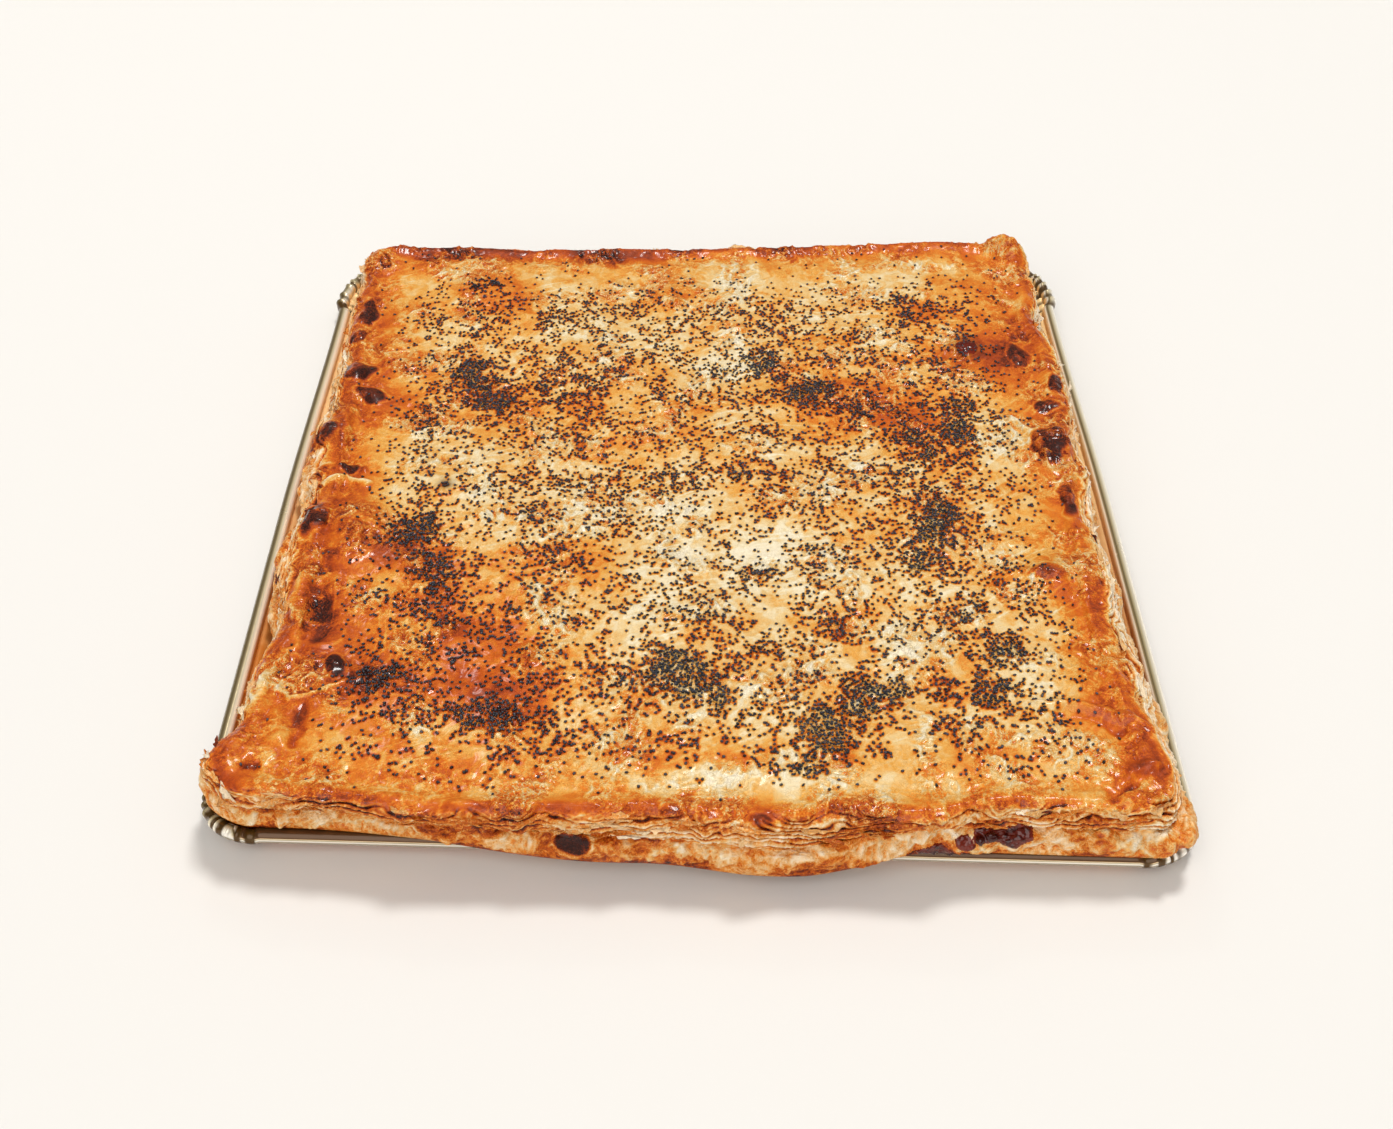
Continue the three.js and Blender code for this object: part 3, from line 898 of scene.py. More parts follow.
@dataclass(frozen=True)
class PaperFinish:
    """Baking paper: matt and white, a little stained by butter."""

    clean: Triple = (243, 238, 228)
    stained: Triple = (226, 208, 176)
    stain_size: float = 0.012
    crease_size: float = 0.005
    crease_grain: float = 0.1
    crease_depth: float = 0.0005
    crease_strength: float = 0.6
    matt: float = 0.6

    def build(self, effects: Effects) -> Material:
        """Makes the material.

        Args:
            effects: the shared node groups.

        Returns:
            The paper's material.
        """
        material, desk, shader = new_material("baking_paper_white")
        place = desk.place()
        stain = desk.noise(place, self.stain_size, 3.0)
        creases = desk.group(effects.wrinkles, {"Vector": place, "Size": self.crease_size,
                                                "Grain": self.crease_grain})
        desk.fill(shader, {
            "Base Color": desk.ramp(stain, ((0.45, self.clean), (0.75, self.stained))),
            "Normal": desk.bumped(creases.outputs["Height"], self.crease_depth, self.crease_strength),
            "Roughness": self.matt,
        })
        return material


# ---- the tray


@dataclass(frozen=True)
class TrayPlan:
    """The tray's outline and section."""

    width: float = 270.0
    front: float = -152.4
    back: float = 156.0
    corner_radius: float = 19.0
    rim_height: float = 9.0
    front_skew: float = 5.2
    back_skew: float = 1.0
    sheet: float = 1.2
    bead_radius: float = 2.1
    border: float = 12.0

    @property
    def corner_x(self) -> float:
        """How far the corners' centres lie from the middle line."""
        return self.width / 2.0 - self.corner_radius

    def end_at(self, x: Array, is_front: Array | bool) -> Array:
        """The y of the front or back edge at each x: a straight line, a little out of square."""
        share = x / (self.width / 2.0)
        return np.where(is_front, self.front - self.front_skew * share, self.back + self.back_skew * share)

    def inset_at(self, x: Array, y: Array) -> Array:
        """How far inside the outer edge a point lies: the distance to a rectangle with rounded corners.

        Args:
            x: the place across.
            y: the place along.

        Returns:
            The distance, negative outside.
        """
        past_side = np.abs(x) - self.corner_x
        past_end = np.abs(y) - (np.abs(self.end_at(x, y < 0)) - self.corner_radius)
        in_corner = np.hypot(np.maximum(past_side, 0.0), np.maximum(past_end, 0.0))
        return self.corner_radius - in_corner - np.minimum(np.maximum(past_side, past_end), 0.0)

    def resting_height(self, x: Array, y: Array, lift: float) -> Array:
        """The underside of what lies in the tray: the floor, a ramp up the border, level over the rim,
        and hanging a little past it.

        Args:
            x: the place across.
            y: the place along.
            lift: the height above the floor.

        Returns:
            The underside's height.
        """
        foot = self.border + 1.2
        head = 2.0 * self.bead_radius + 1.0
        on_floor = self.sheet + lift
        over_rim = self.rim_height + 0.5
        inset = self.inset_at(x, y)
        share = np.clip((foot - inset) / (foot - head), 0.0, 1.0)
        hang = np.clip(-(inset + 1.0) * 0.5, 0.0, 3.0)
        return on_floor + share * (over_rim - on_floor) - hang


@dataclass
class FoilTray:
    """The shallow gold tray: a sloping border, a rolled bead and pleats gathered round each corner."""

    plan: TrayPlan = field(default_factory=TrayPlan)
    side_step: float = 2.2
    corner_steps: int = 150
    back_reach: float = 34.0
    back_squareness: float = 0.72
    front_squareness: float = 0.85
    waist: float = 1.7
    waist_end: float = 118.0
    ear: float = 2.2
    front_ear: float = 0.3
    pleats: int = 9
    front_band: float = 0.9
    left_band: float = 1.08
    left_band_range: tuple[float, float] = (0.1, 0.6)
    border_pleat: float = 1.05
    bead_pleat: float = 0.9
    pleat_bulge: float = 0.5
    dent_size: Triple = (46.0, 46.0, 60.0)
    dent_depth: float = 0.12
    seed: int = 41

    def columns(self) -> tuple[Array, Array, Array]:
        """Goes round the outline counter-clockwise: each corner is a quarter of a superellipse that
        stands out a little, and each side a straight line. The back corners stand out most and reach
        further down the sides, which draw in towards them.

        Returns:
            The points of the outer edge, the directions inwards, and how deep a pleat is at each.
        """
        plan = self.plan
        signs = [(1, -1), (1, 1), (-1, 1), (-1, -1)]
        centres = []
        for across, along in signs:
            end = plan.end_at(np.array(across * plan.corner_x), along < 0).item()
            centres.append(np.array([across * plan.corner_x, end - along * plan.corner_radius]))
        extras = [(self.back_reach - plan.corner_radius) * (along > 0) for _, along in signs]
        points, inwards, pleats = [], [], []
        for index, centre in enumerate(centres):
            start = (index - 1) * math.pi / 2.0
            place = np.linspace(0.0, 1.0, self.corner_steps + 1)
            angle = start + place * math.pi / 2.0
            outward = np.stack([np.cos(angle), np.sin(angle)], axis=-1)
            extra = extras[index]
            squareness, ear = ((self.back_squareness, self.ear) if extra > 0.0
                               else (self.front_squareness, self.front_ear))
            spread = np.sign(outward) * np.abs(outward) ** squareness
            arc = centre + spread * (plan.corner_radius, plan.corner_radius + extra) - (0.0, extra)
            swell = smooth(place, 0.0, 0.1) * (1.0 - smooth(place, 0.9, 1.0))
            points.append(arc + ear * swell[:, None] * outward)
            inwards.append(-outward)
            pleats.append(self.pleat_wave(index))
            following = centres[(index + 1) % 4]
            steps = max(int(np.linalg.norm(following - centre) / self.side_step), 2)
            share = np.linspace(0.0, 1.0, steps + 1)[1:-1, None]
            side_outward = np.array([math.cos(index * math.pi / 2.0), math.sin(index * math.pi / 2.0)])
            first, last = [place - (0.0, drop * abs(side_outward[0]))
                           for place, drop in ((centre, extra), (following, extras[(index + 1) % 4]))]
            points.append(first + share * (last - first) + side_outward * plan.corner_radius)
            inwards.append(np.repeat(-side_outward[None], len(share), axis=0))
            pleats.append(np.zeros(len(share)))
        outline, inwards = np.concatenate(points), np.concatenate(inwards)
        waist = self.waist * smooth(outline[:, 1:], 0.0, self.waist_end) * np.abs(inwards[:, :1])
        return outline + inwards * waist, inwards, np.concatenate(pleats)

    def pleat_wave(self, corner: int) -> Array:
        """The gathers of one corner: folds of uneven width, each a rounded crest that falls sharply.

        Args:
            corner: the corner's number.

        Returns:
            The fold's depth, from 0 to 1, at each step of the arc.
        """
        draw = np.random.default_rng(self.seed + corner)
        widths = draw.uniform(0.55, 1.45, self.pleats)
        ends = np.concatenate([[0.0], np.cumsum(widths) / widths.sum()])
        depths = draw.uniform(0.6, 1.25, self.pleats)
        place = np.linspace(0.0, 1.0, self.corner_steps + 1)
        number = np.clip(np.searchsorted(ends, place, side="right") - 1, 0, self.pleats - 1)
        share = (place - ends[number]) / (ends[number + 1] - ends[number])
        fold = np.sin(np.pi * np.clip(share, 0.0, 1.0) ** 0.7) ** 0.8
        fade = smooth(place, 0.0, 0.06) * (1.0 - smooth(place, 0.94, 1.0))
        return fold * depths[number] * fade

    def section(self) -> Array:
        """The tray's section, from under its floor round the bead and back to the floor's top.

        Returns:
            For each point, the distance in from the edge, the height, how much of a border pleat and of
            a bead pleat shows there, and how much it belongs to the bead.
        """
        plan = self.plan
        bead_height = plan.rim_height - plan.bead_radius
        under = [
            (plan.border - plan.sheet / 2.0, 0.0, 0.0, 0.0, 0.0),
            (9.4, 1.15, 0.5, 0.0, 0.0),
            (6.6, 2.9, 1.0, 0.0, 0.0),
            (4.3, 4.2, 1.0, 0.3, 0.0),
            (2.9, 4.5, 0.6, 0.6, 0.6),
        ]
        angles = np.radians(np.linspace(228.0, -32.0, 25))
        bead = [(plan.bead_radius * (1.0 + math.cos(angle)), bead_height + plan.bead_radius * math.sin(angle),
                 0.0, 1.0, smooth(angle, 0.3, 0.95)) for angle in angles]
        inner = [
            (4.3, 5.85, 0.5, 0.6, 0.0),
            (4.8, 5.9, 0.9, 0.2, 0.0),
            (5.6, 5.55, 1.0, 0.0, 0.0),
            (6.6, 4.9, 1.0, 0.0, 0.0),
            (7.6, 4.2, 1.0, 0.0, 0.0),
            (8.8, 3.35, 0.9, 0.0, 0.0),
            (10.0, 2.55, 0.7, 0.0, 0.0),
            (11.2, 1.8, 0.4, 0.0, 0.0),
            (plan.border + plan.sheet / 2.0, plan.sheet, 0.0, 0.0, 0.0),
            (plan.border + 3.0, plan.sheet, 0.0, 0.0, 0.0),
        ]
        return np.array(under + bead + inner)

    def build(self, material: Material) -> Piece:
        """Carries the section round the outline and closes it with a flat floor above and below.

        Args:
            material: the foil's finish.

        Returns:
            The tray's piece.
        """
        edge, inward, pleat = self.columns()
        section = self.section()
        inset = section[:, 0, None]
        plan = edge[None] + inward[None] * inset[..., None]
        drop = (self.border_pleat * section[:, 2, None] + self.bead_pleat * section[:, 3, None]) * pleat
        height = section[:, 1, None] - drop
        bulge = self.pleat_bulge * section[:, 3, None] * pleat
        plan = plan + inward[None] * bulge[..., None]
        points = np.concatenate([plan, np.maximum(height, 0.0)[..., None]], axis=-1)
        dent = Noise(self.seed).at(points, self.dent_size)
        points[..., 2] += self.dent_depth * dent * (section[:, 1, None] > 2.0)
        rows, columns = points.shape[:2]
        numbers = np.arange(rows * columns).reshape(rows, columns)
        faces = grid_quads(numbers, closed=True)
        gather = np.maximum(section[:, 2, None], section[:, 3, None]) * pleat
        # Painted shade and reflection: the tone falls towards the front and the left, where the foil lies in
        # the pastry's shadow and mirrors it.
        tone = 0.1 + 0.65 * smooth(points[..., 1], -90.0, 80.0) + 0.15 * smooth(points[..., 0], -60.0, 60.0)
        shell = add_mesh("foil_tray_shell", points.reshape(-1, 3), faces,
                         closing=(numbers[0][::-1], numbers[-1]), bead=np.repeat(section[:, 4], columns),
                         band=self.bands(rows, inward).ravel(), gather=gather.ravel(), tone=tone.ravel())
        dress(shell, material, Slot.TRAY, "foil_tray")
        return shell

    def bands(self, rows: int, inward: Array) -> Array:
        """Numbers the painted reflections and shade along the bead for its finish: from 0 outside to 1
        inside, the other way round on the left, and across the front pale only along the lower outer edge,
        with the rest moved to the dark inner end, where the bead mirrors the pastry and lies in its shadow.

        Args:
            rows: the section's points, of which the bead has those between its two ends.
            inward: the direction inwards at each place of the outline.

        Returns:
            The number, rows by places.
        """
        bead_rows = (3.0, 31.0)
        band = smooth(np.arange(rows), *bead_rows)[:, None]
        on_left = smooth(inward[:, 0], 0.5, 1.0)
        band = band + on_left * (np.clip(self.left_band - band, *self.left_band_range) - band)
        return band + self.front_band * smooth(band, 0.1, 0.25) * smooth(inward[:, 1], 0.9, 1.0)


# ---- the paper


@dataclass
class PaperLiner:
    """The sheet of baking paper, with a crumpled tab up the border beside each back corner."""

    tray: TrayPlan = field(default_factory=TrayPlan)
    half_width: float = 117.0
    front: float = -128.0
    back: float = 134.0
    slope: float = 0.56
    lift: float = 0.34
    thickness: float = 0.12
    left_tab: Triple = (92.0, 30.0, 10.5)
    right_tab: Triple = (91.0, 19.0, 10.5)
    across: int = 120
    along: int = 200
    crumple_depth: float = 1.1
    crumples: tuple[tuple[float, float], ...] = ((0.7, 9.0), (0.3, 4.0))
    seed: int = 5

    def edge_at(self, y: Array, tab: Triple) -> Array:
        """The half width: straight, with a bump for the tab, given by its place, reach and size."""
        at, reach, out = tab
        return self.half_width + out * bump(y, at, reach)

    def build(self, material: Material) -> Piece:
        """Lays a grid from edge to edge, up the border where it reaches it, and crumples it.

        Args:
            material: the paper's finish.

        Returns:
            The paper's piece.
        """
        y = np.linspace(self.front, self.back, self.along + 1)[:, None]
        share = np.sin(np.linspace(-1.0, 1.0, self.across + 1) * math.pi / 2.0)[None]
        half = np.where(share < 0.0, self.edge_at(y, self.left_tab), self.edge_at(y, self.right_tab))
        x = share * half
        y = np.broadcast_to(y, x.shape)
        foot = self.tray.border + self.tray.sheet / 2.0
        past = np.maximum(0.0, foot - self.tray.inset_at(x, y))
        level = self.tray.sheet + self.lift + past * self.slope
        flat = np.stack([x, y, np.zeros_like(x)], axis=-1)
        noise = Noise(self.seed)
        crumple = sum(noise.creases(flat, size) * amount for amount, size in self.crumples)
        level = level + crumple * self.crumple_depth * smooth(past, 0.0, 5.0)
        top = np.stack([x, y, level], axis=-1)
        under = top - (0.0, 0.0, self.thickness)
        points = np.concatenate([top.reshape(-1, 3), under.reshape(-1, 3)])
        sheet = add_mesh("paper_liner", points, sheet_faces(*x.shape))
        dress(sheet, material, Slot.PAPER, "baking_paper")
        return sheet


# ---- the parcel


@dataclass(frozen=True)
class ParcelPlan:
    """The parcel's form without its fine relief: outline, side and top."""

    front_left: tuple[float, float] = (-131.0, -146.0)
    front_right: tuple[float, float] = (132.0, -159.0)
    back_right: tuple[float, float] = (125.0, 143.5)
    back_left: tuple[float, float] = (-125.0, 140.0)
    half_width: float = 131.5
    half_length: float = 143.0
    corner_radius: float = 11.0
    top: float = 26.5
    crown: float = 1.2
    ridge_inset: float = 6.0
    ridge_height: float = 0.9
    gutter_inset: float = 12.0
    gutter_depth: float = 0.7
    lean_across: float = 1.4
    lean_along: float = 0.85
    seam_drift: float = 0.07
    lift: float = 1.3
    right_slope: float = 0.9
    left_slope: float = 0.9
    left: tuple[Lump, ...] = (
        Lump(58, 24, -1.6), Lump(12, 24, 1.8), Lump(-36, 16, 0.6), Lump(-80, 32, -4.6), Lump(-114, 18, -2.6),
        Lump(-135, 13, 3.4))
    right: tuple[Lump, ...] = (
        Lump(88, 15, -4), Lump(50, 14, 0.4), Lump(10, 20, -2.8), Lump(-26, 24, -2.6), Lump(-72, 30, -1.6),
        Lump(-136, 14, 1))
    front: tuple[Lump, ...] = (Lump(-24, 84, 6.6), Lump(28, 44, 6))
    back: tuple[Lump, ...] = (Lump(-60, 34, -1.6), Lump(10, 60, -2.2), Lump(66, 12, 1.2))
    front_overhang: tuple[Lump, ...] = (Lump(-84, 90, 8.5), Lump(60, 24, 6.5), Lump(0, 60, 1.5))
    swellings: tuple[TopLump, ...] = (
        TopLump(-117, 131, 16, 15, 2.6), TopLump(117, 139, 13, 16, 9), TopLump(88, 136, 26, 16, 2.2),
        TopLump(-105, -38, 17, 27, 3.2), TopLump(-116, 18, 9, 16, 2.2), TopLump(-112, 44, 10, 14, 1.4),
        TopLump(-108, -92, 15, 24, 1.8), TopLump(-122, -134, 15, 14, 1.6), TopLump(113, 6, 10, 24, 2.4),
        TopLump(108, -58, 17, 14, 2), TopLump(112, -112, 18, 20, 1.6), TopLump(92, 66, 9, 11, 1.6),
        TopLump(-8, 101, 15, 13, 1.5), TopLump(-76, 104, 18, 16, 1.3), TopLump(-30, 16, 16, 15, 1.2),
        TopLump(30, 34, 18, 15, 1), TopLump(-46, -104, 17, 15, 1.2), TopLump(-80, 128, 30, 12, 0.8))
    profile: tuple[Triple, ...] = (
        (0.0, 1.4, 0.0), (0.1, 0.5, 0.0), (0.24, 0.0, 0.0), (0.38, 0.7, 0.2), (0.47, 1.4, 1.5),
        (0.54, 1.5, 1.1), (0.68, 2.0, 0.2), (0.84, 3.2, 0.0), (0.95, 4.5, 0.0), (1.0, 6.0, 0.0))
    seam: float = 0.49

    def rounded(self, u: Array, v: Array) -> tuple[Array, Array]:
        """Rounds the corners of the square -1..1: past a corner's centre, a point is drawn in to the
        ellipse round it, and each smaller square round the middle is rounded in the same way.

        Args:
            u: the place across, -1 to 1.
            v: the place along, -1 to 1.

        Returns:
            The rounded places.
        """
        size = np.maximum(np.maximum(np.abs(u), np.abs(v)), 1e-9)
        corner_u = self.corner_radius / self.half_width
        corner_v = self.corner_radius / self.half_length
        past_u = (np.abs(u) / size - (1.0 - corner_u)) / corner_u
        past_v = (np.abs(v) / size - (1.0 - corner_v)) / corner_v
        inside = (past_u > 0.0) & (past_v > 0.0)
        length = np.where(inside, np.hypot(past_u, past_v), 1.0)
        round_u = np.sign(u) * size * (1.0 - corner_u + corner_u * past_u / length)
        round_v = np.sign(v) * size * (1.0 - corner_v + corner_v * past_v / length)
        return np.where(inside, round_u, u), np.where(inside, round_v, v)

    def slope(self, u: Array, v: Array) -> Array:
        """How far the side leans in, as a multiple of the usual: more along stretches of the right and
        left sides, fading inwards with the eighth power of the distance from the middle.

        Args:
            u: the place across, -1 to 1.
            v: the place along, -1 to 1.

        Returns:
            The multiple at each place.
        """
        y = v * self.half_length
        right = self.right_slope * bump(y, -78.0, 120.0) * np.maximum(u, 0.0) ** 8
        left = self.left_slope * bump(y, -10.0, 130.0) * np.maximum(-u, 0.0) ** 8
        return 1.0 + right + left

    @staticmethod
    def _swell(lumps: tuple[Lump, ...], place: Array) -> Array:
        """The sum of an edge's lumps at each place along it."""
        return sum(lump.out * bump(place, lump.at, lump.reach) for lump in lumps)

    def plan(self, u: Array, v: Array, inset: Array | float = 0.0, overhang: Array | float = 0.0) -> Array:
        """Lays the square on the four corners by blending them, moved in by `inset`, and pushes each
        edge out by its lumps, times the cube of the distance from the middle.

        Args:
            u: the place across, -1 to 1.
            v: the place along, -1 to 1.
            inset: how far inside the outline.
            overhang: 0 for the bottom sheet and 1 for the top sheet, whose front edge reaches further.

        Returns:
            The x and y of each point, on the last axis.
        """
        u = u * (1.0 - self.lean_across * inset / self.half_width)
        v = v * (1.0 - self.lean_along * inset / self.half_length)
        right = (u[..., None] + 1.0) / 2.0
        back = (v[..., None] + 1.0) / 2.0
        near = np.array(self.front_left) * (1.0 - right) + np.array(self.front_right) * right
        far = np.array(self.back_left) * (1.0 - right) + np.array(self.back_right) * right
        flat = near * (1.0 - back) + far * back
        x, y = flat[..., 0], flat[..., 1]
        sideways = np.where(u < 0.0, self._swell(self.left, y), self._swell(self.right, y))
        front = self._swell(self.front, x) + overhang * self._swell(self.front_overhang, x)
        endways = np.where(v < 0.0, front, self._swell(self.back, x))
        return np.stack([x + u**3 * sideways, y + v**3 * endways], axis=-1)

    def top_height(self, x: Array, y: Array, edge: Array) -> Array:
        """The top sheet's height: a low crown, a rounded edge with a gutter behind it, long swells of
        sine waves, and a rounded bump for each swelling.

        Args:
            x: the place across.
            y: the place along.
            edge: the distance from the outline.

        Returns:
            The height above the table.
        """
        crown = self.crown * np.minimum(edge / 60.0, 1.0)
        ridge = self.ridge_height * bump(edge, self.ridge_inset, 5.0)
        gutter = self.gutter_depth * bump(edge, self.gutter_inset, 8.0)
        swell = 0.5 * np.sin(x / 13.0 + 0.7) * np.cos(y / 17.0) + 0.4 * np.sin((x + y) / 21.0)
        total = self.top + crown + ridge - gutter + swell
        for lump in self.swellings:
            away = np.hypot((x - lump.x) / lump.across, (y - lump.y) / lump.along)
            total = total + lump.high * bump(away, 0.0, 1.0)
        return total


# ---- browning


@dataclass(frozen=True)
class Browning:
    """Where the crust baked dark and where it stayed pale."""

    middle: float = 0.286
    outer: float = 0.495
    outer_width: float = 36.0
    broad: float = 0.06
    patch: float = 0.09
    outline: float = 0.10
    stroke: float = 0.12
    relief_share: float = 0.18
    drift_right: Layers = ((5.0, 90.0, 14.0), (1.6, 50.0, 4.0))
    drift_back: Layers = ((5.0, -90.0, 14.0), (1.6, -50.0, 4.0))
    broad_noise: Layers = ((1.0, 0.0, 17.0), (0.6, 40.0, 8.0))
    patch_noise: Layers = ((1.0, 0.0, 6.5), (0.55, 60.0, 2.8))
    bend: float = 2.4
    outline_at: float = 0.12
    outline_thin: float = 5.5
    smooth_share: float = 0.3
    stroke_length: float = 13.0
    stroke_width: float = 1.1
    spots: tuple[Spot, ...] = (
        # the back edge
        Spot(-40, 136, 95, 6, 0.30), Spot(-100, 133, 15, 7, 0.18), Spot(-70, 132, 12, 6, 0.14),
        Spot(-30, 131, 9, 6, 0.16), Spot(32, 133, 15, 6, 0.18), Spot(78, 135, 14, 5, 0.12),
        # the left edge
        Spot(-112, -60, 15, 62, 0.10), Spot(-82, -88, 30, 46, 0.18), Spot(-116, 116, 5, 22, 0.18),
        Spot(-116, 84, 5, 20, 0.16), Spot(-113, 48, 8, 7, 0.12, 40), Spot(-101, 29, 10, 7, 0.20),
        Spot(-119, 15, 8, 12, 0.10), Spot(-112, 0, 9, 8, 0.08), Spot(-106, -32, 15, 20, 0.20, 30),
        Spot(-92, -47, 11, 7, 0.28, 20),
        Spot(-115, -75, 10, 14, 0.12), Spot(-105, -86, 9, 16, 0.12), Spot(-96, -101, 8, 8, 0.18),
        Spot(-86, -109, 18, 10, 0.24), Spot(-75, -68, 8, 22, 0.24, 10), Spot(-122, -143, 7, 6, 0.10),
        Spot(-96, 52, 22, 24, 0.10),
        # bubbles and patches of the middle
        Spot(-8, 101, 14, 11, 0.24), Spot(-75, 104, 20, 15, 0.26, -20), Spot(-42, -55, 12, 10, 0.24),
        Spot(-50, -106, 22, 15, 0.26), Spot(-55, -116, 12, 7, 0.14), Spot(0, 30, 9, 8, 0.14),
        Spot(2, 12, 9, 7, 0.12), Spot(-30, 20, 15, 14, 0.14), Spot(40, 70, 15, 9, 0.12),
        Spot(-72, 40, 32, 16, 0.14), Spot(-30, 100, 24, 20, 0.05), Spot(60, 33, 28, 20, 0.22),
        Spot(78, -10, 18, 50, 0.07), Spot(70, -105, 30, 20, 0.05),
        Spot(56, 22, 14, 8, 0.14), Spot(75, 92, 14, 12, 0.18), Spot(10, -137, 30, 6, 0.16),
        Spot(-75, -143, 26, 6, 0.12), Spot(76, -130, 15, 8, 0.12), Spot(-60, -84, 12, 8, 0.14),
        # the right edge
        Spot(95, 110, 9, 14, 0.18, -15), Spot(98, 62, 22, 22, 0.30), Spot(104, 67, 10, 10, 0.16),
        Spot(111, 82, 7, 10, 0.10), Spot(115, 31, 9, 9, 0.10), Spot(114, 6, 7, 15, 0.14),
        Spot(117, -12, 6, 10, 0.08), Spot(104, -60, 18, 12, 0.16, 15), Spot(115, -80, 9, 12, 0.10),
        Spot(112, -30, 10, 14, 0.10), Spot(110, -120, 8, 9, 0.18), Spot(114, -142, 7, 9, 0.20),
        # pale places
        Spot(-124, 44, 5, 16, -0.18), Spot(-125, 2, 4, 14, -0.18), Spot(121, -68, 6, 62, -0.14),
        Spot(-45, -143, 90, 8, -0.09), Spot(50, -145, 40, 7, -0.07), Spot(0, 122, 90, 9, -0.04),
        Spot(10, 112, 17, 22, -0.12), Spot(9, 60, 10, 20, -0.14), Spot(-40, 75, 16, 14, -0.07),
        Spot(-30, -28, 28, 12, -0.10), Spot(10, -50, 34, 18, -0.15), Spot(38, -62, 15, 10, -0.12),
        Spot(-20, -80, 20, 11, -0.09), Spot(-80, -14, 13, 8, -0.10), Spot(58, -90, 9, 10, -0.13),
        Spot(5, -146, 42, 5, -0.20), Spot(-98, -145, 13, 6, -0.14), Spot(86, 121, 9, 13, -0.12),
        Spot(98, 16, 8, 11, -0.16), Spot(25, -110, 22, 17, -0.09), Spot(92, -98, 14, 22, -0.08),
        Spot(62, 128, 14, 8, -0.06), Spot(-75, -95, 12, 10, -0.10), Spot(70, -10, 14, 16, -0.04),
    )
    burns: tuple[Spot, ...] = (
        Spot(93, 66, 4.5, 5.5, 0.85), Spot(114, 4, 3, 8, 0.35), Spot(-109, 38, 4, 2.4, 0.30, 30),
        Spot(-119, 16, 3, 5, 0.30), Spot(-90, -49, 6, 4, 0.2, 20), Spot(-100, -101, 3.6, 4.2, 0.3),
        Spot(-78, -15, 2.5, 2.5, 0.9), Spot(117, -14, 2, 5, 0.2), Spot(103, -56, 6, 3, 0.15),
    )

    def top(self, points: Array, edge: Array, relief: Array, rough: Array, noise: Noise) -> Array:
        """How far each point of the top baked: paler in the middle, plus its spots read at places that
        noise has moved, plus broad tones and patches where two noises pass through an S-shaped curve,
        with a dark outline where the second nears its middle, less the brush strokes of a noise drawn
        out along a slowly turning direction, plus a share of the relief.

        Args:
            points: the skin's points.
            edge: their distance from the outline.
            relief: their height above the smooth form, from -1 to 1.
            rough: how crinkled the sheet is there, from 0 to 1.
            noise: the noise to use.

        Returns:
            The browning, from 0, pale, to 1, dark.
        """
        x = points[..., 0] + noise.layers(points, self.drift_right)
        y = points[..., 1] + noise.layers(points, self.drift_back)
        outwards = 1.0 - smooth(edge, 6.0, self.outer_width)
        bake = self.middle + (self.outer - self.middle) * outwards
        for spot in self.spots:
            bake = bake + spot.amount * spot.reach(x, y)
        bent = points + self.bend * noise.three(points + 17.0, 6.0)
        patches = noise.layers(bent, self.patch_noise)
        outline = np.maximum(1.0 - np.abs(patches - self.outline_at) * self.outline_thin, 0.0)
        broad = sharpen(noise.layers(points, self.broad_noise), 0.4)
        patches = sharpen(patches, 0.28)
        turn = 0.45 + 0.6 * noise.at(points, 70.0)
        along = points[..., 0] * np.cos(turn) + points[..., 1] * np.sin(turn)
        across = points[..., 1] * np.cos(turn) - points[..., 0] * np.sin(turn)
        drawn_out = [along / self.stroke_length, across / self.stroke_width, np.zeros_like(along)]
        strokes = smooth(noise.at(np.stack(drawn_out, axis=-1), 1.0), 0.12, 0.5)
        strokes = strokes * smooth(noise.at(points + 120.0, 26.0), -0.1, 0.3)
        uneven = self.smooth_share + (1.0 - self.smooth_share) * rough
        uneven = uneven * (self.patch * patches + self.outline * outline)
        return bake + self.broad * broad + uneven - self.stroke * strokes + self.relief_share * relief

    def burnt(self, points: Array, noise: Noise) -> Array:
        """How far each point of the top is burnt black: its spots, read at places that noise has moved.

        Args:
            points: the skin's points.
            noise: the noise to use.

        Returns:
            The char, from 0 to 1.
        """
        x = points[..., 0] + 2.0 * noise.at(points + 20.0, 4.0)
        y = points[..., 1] + 2.0 * noise.at(points - 20.0, 4.0)
        total = np.zeros(points.shape[:-1])
        for spot in self.burns:
            total = total + spot.amount * spot.reach(x, y)
        return np.clip(total, 0.0, 1.0)


# ---- the crust


